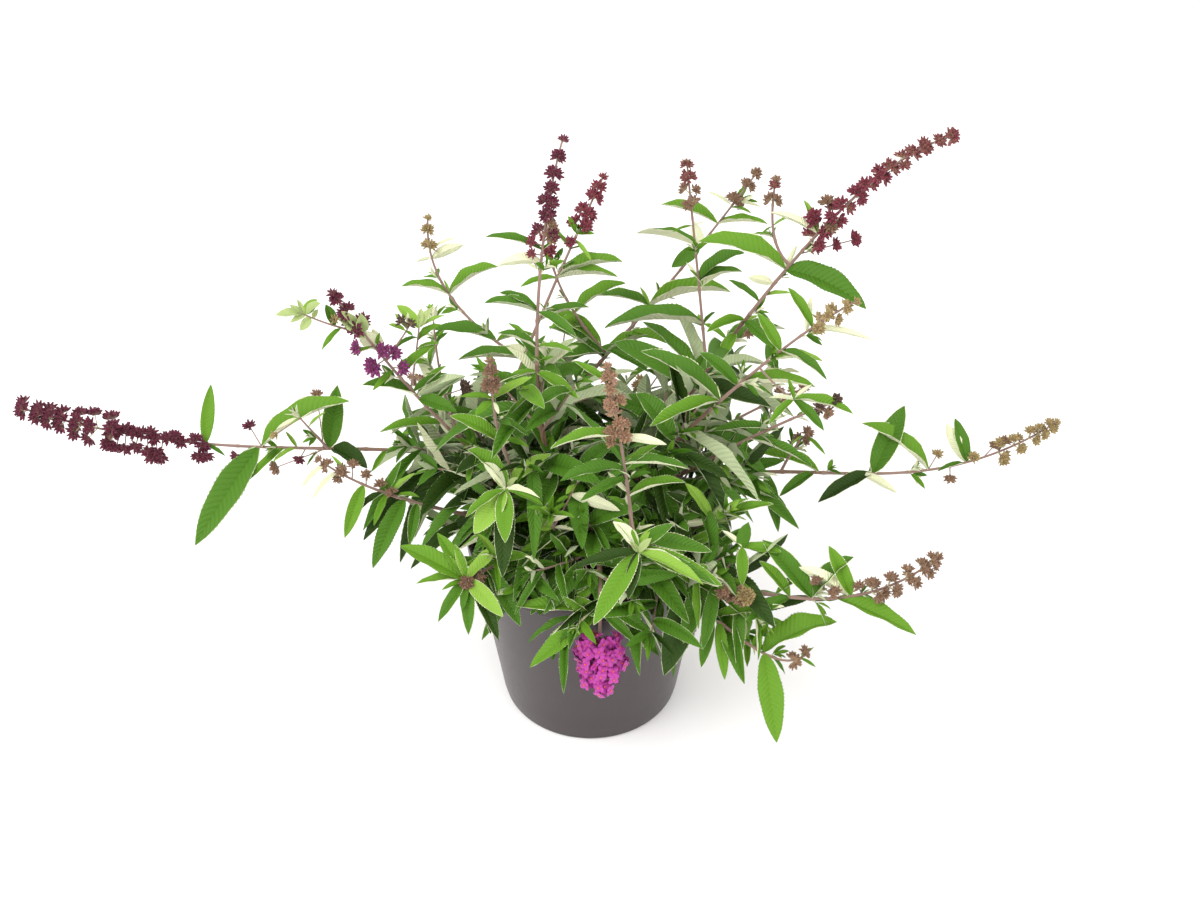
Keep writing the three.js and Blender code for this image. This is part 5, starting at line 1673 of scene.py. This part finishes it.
def leaf_master(spans, columns, teeth, tooth):
    """A closed blade: parts are the top (0), its margin (1) and the underside (2).

    x is the share along the leaf, y the place across it and z the side it is on.
    """
    shape, under = (leaf_side(spans, columns, teeth, tooth) for _ in range(2))
    for side, level in ((shape, 1), (under, -1)):
        for vert in side.verts:
            vert.co.z = 0 if abs(vert.co.y) > MARGIN + 0.01 else level
    for face in shape.faces:
        off = abs(face.calc_center_median().y)
        face.material_index = 1 if teeth and off > MARGIN - 0.02 else 0
    bmesh.ops.reverse_faces(under, faces=under.faces)
    for face in under.faces:
        face.material_index = 2
    flat = bpy.data.meshes.new("underside")
    under.to_mesh(flat)
    under.free()
    shape.from_mesh(flat)
    bpy.data.meshes.remove(flat)
    for vert in shape.verts:
        if vert.co.x > 0.999:
            vert.co = (1, 0, 0)
    bmesh.ops.remove_doubles(shape, verts=shape.verts, dist=1e-5)
    return Master(shape)


def outline(share):
    """Half the width of a leaf at a share of its length, 1 at its widest."""
    root, tip = LEAF_OUTLINE["root"], LEAF_OUTLINE["tip"]
    widest = root / (root + tip)
    body = (share / widest) ** root * ((1 - share) / (1 - widest)) ** tip
    return np.where(share < widest, np.maximum(body, LEAF_OUTLINE["stalk"]), body)


def lay_blades(master, blades, look, dice):
    """The spots of each leaf: arched, folded along its midrib, waved and a little twisted."""
    share, across, side = master.spots.T
    laid = []
    for blade in blades:
        size, droop, calm = blade.length, blade.droop, blade.calm
        half = size * look.width_ratio / 2 * outline(share) * blade.width
        half = half * (1 + calm * dice.uniform(-LEAF_BODY["width"], LEAF_BODY["width"]))
        out, face_across = np.array(blade.out), np.array(blade.across)
        down = np.array([0, 0, -1.0])
        fall = down * (droop * share**2)[:, None]
        centre = np.array(blade.root) + size * (out * share[:, None] + fall)
        along = out + down * (2 * droop * share)[:, None]
        along /= np.linalg.norm(along, axis=1)[:, None]
        over = np.cross(along, face_across)
        roll = calm * dice.gauss(0, LEAF_BODY["roll"])
        twist = roll + calm * dice.uniform(-1, 1) * LEAF_BODY["twist"] * share[:, None]
        left = face_across * np.cos(twist) + over * np.sin(twist)
        over = over * np.cos(twist) - face_across * np.sin(twist)
        fold = look.fold * blade.fold * (1 + LEAF_BODY["fold"] * calm * dice.uniform(-1, 1))
        fold = fold * (1 - LEAF_BODY["flatter"] * share)
        arch = 1 + LEAF_BODY["crown"] * (1 - np.abs(across))
        rise = half * np.sin(fold) * np.abs(across) * arch
        spread = half * np.cos(fold) * across
        phase = dice.uniform(0, math.tau)
        wave = np.sin(math.tau * LEAF_BODY["waves"] * share + phase + across)
        rise = rise + LEAF_BODY["wave"] * half * wave * across**2
        rise = rise + side * size * LEAF_BODY["thickness"]
        curl = calm * dice.uniform(-1, 1) * LEAF_BODY["curl"] * size * (share**2)[:, None]
        laid.append(centre + face_across * curl + left * spread[:, None] + over * rise[:, None])
    return np.array(laid)


def fitting(master, blades, look, pot, seed):
    """Lays leaves, lifts those that would meet the pot, and leaves out what still does."""
    kept, spots = [], []
    for number, blade in enumerate(blades):
        for lift in LEAF_FIT["lifts"]:
            tried = blade._replace(droop=blade.droop - lift)
            laid = lay_blades(master, [tried], look, random.Random(seed + number))[0]
            free = laid[np.hypot(*(laid - np.array(blade.root))[:, :2].T) > LEAF_FIT["root"]]
            is_inside = np.all((laid > REACH[0]) & (laid < REACH[1]))
            if is_inside and pot.clears(free, LEAF_FIT["room"]):
                kept.append(blade)
                spots.append(laid)
                break
    return kept, np.array(spots)


def leaf_parts(blades, dice):
    """The tints of the top, margin and underside of each leaf, none of them deep high up.

    The deep green is partly old leaves' own colour and partly painted shade inside the bush.
    """
    parts = []
    for blade in blades:
        high = (blade.root.z - LEAF_AGE["high"]) / LEAF_AGE["stretch"]
        age = max(blade.age, min(LEAF_AGE["most"], high))
        stray = LEAF_AGE["stray"]
        tint = DOWNY if age > LEAF_AGE["downy"] else min(
            YOUNG, max(0, round(age + dice.uniform(-stray, stray))))
        felted = blade.age + dice.uniform(-FELTING["stray"], FELTING["stray"])
        back = FELT if felted > FELTING["age" if blade.calm > 0.5 else "open_age"] else WORN_FELT
        parts.append([tint, back if dice.random() < FELTING["margins"] else tint, back])
    return parts


class BUSH_OT_leaves(bpy.types.Operator):
    """Grow the full leaves and the small young ones"""

    bl_idname = "bush.leaves"
    bl_label = "Leaves"

    def execute(self, context):
        bush = grow_bush()
        look = context.scene.bush_leaves
        pot = PotShape(context.scene.bush_pot)
        materials = [leaf_finish(name, getattr(look, setting), *surface)
                     for name, setting, *surface in LEAF_TISSUES]
        full = leaf_master(LEAF_SPANS, LEAF_COLUMNS, LEAF_TEETH, look.tooth)
        young = leaf_master(YOUNG_SPANS, YOUNG_COLUMNS, 0, 0)
        for name, master, blades, seed, tint_seed, replaced in (
                ("leaves", full, bush.blades, 1000, 71, nodes_named("mass_")),
                ("young_leaves", young, bush.small_blades, 9000, 72, ())):
            kept, spots = fitting(master, blades, look, pot, seed)
            parts = leaf_parts(kept, random.Random(tint_seed))
            dealt(name, master, spots, parts, materials, replaced)
        return {"FINISHED"}


# ---------------------------------------------------------------- flowers

CALYX = {"radius": (0.16, 0.21), "spread": 82, "root": 0.3, "base_end": 0.55, "crowd": 1.8,
         "turn": 14, "lean": 6, "size": (0.82, 1.15), "sides": 5, "end": 0.4, "belly": 2.5,
         "lip": 0.14, "sunk": 0.16, "seed": 31}
# Tints of the calyces that are settings, and how far a calyx's foot is turned to straw and its
# mouth to wine.
CALYX_SETTINGS = ("maroon", "wine", "purple", "brown", "olive")
CALYX_TINTS = {"red_foot": 0.28, "foot": 0.6, "mouth": 0.6}
REDS = ("maroon", "wine", "purple")


def calyx_master():
    """A spent calyx: a slim pod, fullest at its middle, that closes to a small sunken mouth.

    Its parts are its foot, its body and its mouth.
    """
    shape = bmesh.new()
    cone(shape, CALYX["sides"], CALYX["end"], CALYX["end"], 1)
    middle = bmesh.ops.subdivide_edges(shape, edges=upright_edges(shape), cuts=1)["geom_inner"]
    for vert in middle:
        if isinstance(vert, bmesh.types.BMVert):
            vert.co.xy *= CALYX["belly"]
            vert.co.z = CALYX["base_end"] - 0.5
    top = [face for face in shape.faces if face.calc_center_median().z > 0.49]
    sunk = bmesh.ops.inset_individual(shape, faces=top, thickness=CALYX["lip"],
                                      depth=-CALYX["sunk"])
    for face in shape.faces:
        face.material_index = 0 if face.calc_center_median().z < CALYX["base_end"] - 0.5 else 1
    for face in top + list(sunk["faces"]):
        face.material_index = 2
    bmesh.ops.translate(shape, vec=(0, 0, 0.5), verts=shape.verts)
    return Master(shape)


def placed_rods(master, roots, ways, lengths, radii):
    """Copies of a shape that stands on z, each set on its root along its way."""
    helper = np.where(np.abs(ways[:, 2:3]) < 0.9, [[0, 0, 1.0]], [[1.0, 0, 0]])
    side = np.cross(ways, helper)
    side /= np.linalg.norm(side, axis=1)[:, None]
    over = np.cross(ways, side)
    x, y, z = (master.spots[None, :, axis, None] for axis in range(3))
    return (roots[:, None] + side[:, None] * x * radii[:, None, None]
            + over[:, None] * y * radii[:, None, None] + ways[:, None] * z * lengths[:, None, None])


# A petal by the width of the floret: its shape, how far out it stands and how much it is cupped.
PETAL = {"wide": 0.27, "narrow": 0.17, "thick": 0.07, "stretch": (1.08, 0.9, 1), "cup": 0.3,
         "place": (0.27, 0, 1.03)}


class BUSH_OT_spikes(bpy.types.Operator):
    """Grow the spent flower spikes and the stray clusters"""

    bl_idname = "bush.spikes"
    bl_label = "Spent flower spikes"

    def execute(self, context):
        bush = grow_bush()
        tints, materials = self.finishes(context.scene.bush_flowers)
        dice = random.Random(CALYX["seed"])
        roots, ways, sizes, parts = [], [], [], []
        for cluster in bush.clusters:
            side = cluster.way.orthogonal().normalized()
            over = cluster.way.cross(side)
            first = 3 * tints.index(cluster.tint)
            count = round(cluster.count * CALYX["crowd"])
            for number in range(count):
                lean = CALYX["spread"] * math.sqrt((number + 0.3) / count)
                turn = number * GOLDEN_TURN + dice.uniform(-CALYX["turn"], CALYX["turn"])
                lean += dice.uniform(-CALYX["lean"], CALYX["lean"])
                way = leaning(cluster.way, leaning(side, over, turn), lean)
                roots.append(cluster.hub + way * CALYX["root"])
                ways.append(way)
                sizes.append(cluster.size * dice.uniform(*CALYX["size"]))
                parts.append([first, first + 1, first + 2])
        sizes = np.array(sizes)
        radii = sizes * [within(CALYX["radius"], dice.random()) for _ in sizes]
        master = calyx_master()
        copies = placed_rods(master, np.array(roots), np.array(ways), sizes, radii)
        dealt("spent_flowers", master, copies, parts, materials, (), 50)
        return {"FINISHED"}

    @staticmethod
    def finishes(look):
        """The names of the tints, and three finishes for each: a calyx's foot, body and mouth."""
        tints = {name: getattr(look, name) for name in CALYX_SETTINGS}
        tints |= {"dusky": shaded(look.brown, 1.4), "dry": shaded(look.brown, 0.3),
                  "rust": blend(look.maroon, look.brown, 0.3)}
        materials = []
        for name, tint in tints.items():
            foot = blend(tint, look.straw, CALYX_TINTS["red_foot" if name in REDS else "foot"])
            mouth = blend(shaded(tint, 0.5), look.wine, CALYX_TINTS["mouth"])
            materials += [petal_finish(f"{name.title()} {part}", base) for part, base in (
                ("calyx foot", foot), ("calyx", tint), ("mouth", mouth))]
        return list(tints), materials


def floret_master():
    """An open floret: four rounded petals round an eye, on a slim tube. Its mouth is at z 1."""
    shape = bmesh.new()
    for quarter in range(4):
        petal = cone(shape, 8, PETAL["wide"], PETAL["narrow"], PETAL["thick"])
        bmesh.ops.scale(shape, vec=PETAL["stretch"], verts=petal)
        bmesh.ops.translate(shape, vec=PETAL["place"], verts=petal)
        for vert in petal:
            vert.co.z += PETAL["cup"] * (vert.co.x - 0.1) ** 2
        turn = Matrix.Rotation(math.radians(90 * quarter), 3, "Z")
        bmesh.ops.rotate(shape, cent=(0, 0, 0), matrix=turn, verts=petal)
    bmesh.ops.translate(shape, vec=(0, 0, 1.09), verts=cone(shape, 6, 0.1, 0.06, 0.1, 1))
    bmesh.ops.translate(shape, vec=(0, 0, 0.5), verts=cone(shape, 6, 0.06, 0.1, 1, 2))
    return Master(shape)


class BUSH_OT_fresh_flower(bpy.types.Operator):
    """Open the fresh flower that hangs over the pot"""

    bl_idname = "bush.fresh_flower"
    bl_label = "Fresh flower"

    def execute(self, context):
        look = context.scene.bush_flowers
        width = look.floret / MM
        master = floret_master()
        raised = master.spots[:, 2] > 1.0001
        copies = []
        for root, way, reach, turn in grow_bush().florets:
            side = way.orthogonal().normalized()
            side = leaning(side, way.cross(side), turn)
            spots = master.spots.copy()
            spots[:, :2] *= width
            spots[:, 2] = np.where(raised, reach + (spots[:, 2] - 1) * width, spots[:, 2] * reach)
            copies.append(np.array(root) + spots @ np.array([side, way.cross(side), way]))
        materials = [petal_finish("Open petal", look.petal, 0.5),
                     petal_finish("Flower eye", look.eye, 0.5),
                     petal_finish("Flower tube", shaded(look.petal, 0.45))]
        parts = [[0, 1, 2]] * len(copies)
        joined("fresh_flower", [(master, np.array(copies), parts)], materials, (), 60)
        return {"FINISHED"}


# ---------------------------------------------------------------- stage

FLOOR_SIZE = 12
LIGHT_AIM = Vector((0, 0, 0.2))
SURROUND = (1, 0.99, 0.985, 1)
LIGHTS = [  # name, place, size, setting
    ("Key light", (-1.1, -1.0, 2.1), 1.7, "key"),
    ("Fill light", (1.6, -1.2, 1.5), 1.8, "fill"),
]


def soft_light(name, place, size, power):
    light = bpy.data.lights.new(name, "AREA")
    light.shape, light.size, light.energy = "DISK", size, power
    lamp = bpy.data.objects.new(name, light)
    bpy.context.scene.collection.objects.link(lamp)
    lamp.location = place
    aim = LIGHT_AIM - Vector(place)
    lamp.rotation_euler = aim.to_track_quat("-Z", "Y").to_euler()


class BUSH_OT_stage(bpy.types.Operator):
    """Set the camera, the pale floor and soft studio light"""

    bl_idname = "bush.stage"
    bl_label = "Stage"

    def execute(self, context):
        scene, look = context.scene, context.scene.bush_stage
        camera = bpy.data.cameras.new("Camera")
        camera.lens, camera.sensor_width = look.lens, CAMERA["sensor"]
        viewer = bpy.data.objects.new("Camera", camera)
        scene.collection.objects.link(viewer)
        viewer.location = CAMERA["place"]
        viewer.rotation_euler = (math.radians(CAMERA["tilt"]), 0, 0)
        scene.camera = viewer

        shape = bmesh.new()
        bmesh.ops.create_grid(shape, x_segments=1, y_segments=1, size=FLOOR_SIZE / 2)
        paper = Finish("Paper floor", look.floor, 0.9, 0.2)
        paper.relief((paper.noise(90, 3), 0.05, 0.001))
        mesh = mesh_of("floor", shape, paper.material, 30)
        floor = bpy.data.objects.new("floor", mesh)
        scene.collection.objects.link(floor)

        for name, place, size, setting in LIGHTS:
            soft_light(name, place, size, getattr(look, setting))
        scene.world = bpy.data.worlds.new("Studio")
        scene.world.use_nodes = True
        surround = scene.world.node_tree.nodes["Background"]
        surround.inputs["Color"].default_value = SURROUND
        surround.inputs["Strength"].default_value = look.sky
        scene.view_settings.view_transform = "Standard"
        return {"FINISHED"}


# ---------------------------------------------------------------- panel and registration

MAKERS = (BUSH_OT_stage, BUSH_OT_pot, BUSH_OT_compost, BUSH_OT_bark, BUSH_OT_stems,
          BUSH_OT_leaves, BUSH_OT_spikes, BUSH_OT_fresh_flower)
SETTINGS = {
    "bush_pot": BushPotSettings, "bush_leaves": BushLeafSettings, "bush_stems": BushStemSettings,
    "bush_flowers": BushFlowerSettings, "bush_stage": BushStageSettings,
}


class BUSH_PT_panel(bpy.types.Panel):
    """Lists the makers of the bush and their settings"""

    bl_idname = "BUSH_PT_panel"
    bl_label = "Butterfly bush"
    bl_space_type = "VIEW_3D"
    bl_region_type = "UI"
    bl_category = "Bush"

    def draw(self, context):
        for maker in MAKERS:
            self.layout.operator(maker.bl_idname)
        for name, group in SETTINGS.items():
            box = self.layout.box()
            for setting in group.__annotations__:
                box.prop(getattr(context.scene, name), setting)


def register():
    for kind in (*SETTINGS.values(), *MAKERS, BUSH_PT_panel):
        bpy.utils.register_class(kind)
    for name, group in SETTINGS.items():
        setattr(bpy.types.Scene, name, PointerProperty(type=group))


def unregister():
    for name in SETTINGS:
        delattr(bpy.types.Scene, name)
    for kind in reversed((*SETTINGS.values(), *MAKERS, BUSH_PT_panel)):
        bpy.utils.unregister_class(kind)


def main():
    register()
    bpy.ops.bush.stage()
    bpy.ops.bush.pot()
    bpy.ops.bush.compost()
    bpy.ops.bush.bark()
    bpy.ops.bush.stems()
    bpy.ops.bush.leaves()
    bpy.ops.bush.spikes()
    bpy.ops.bush.fresh_flower()


if __name__ == "__main__":
    main()
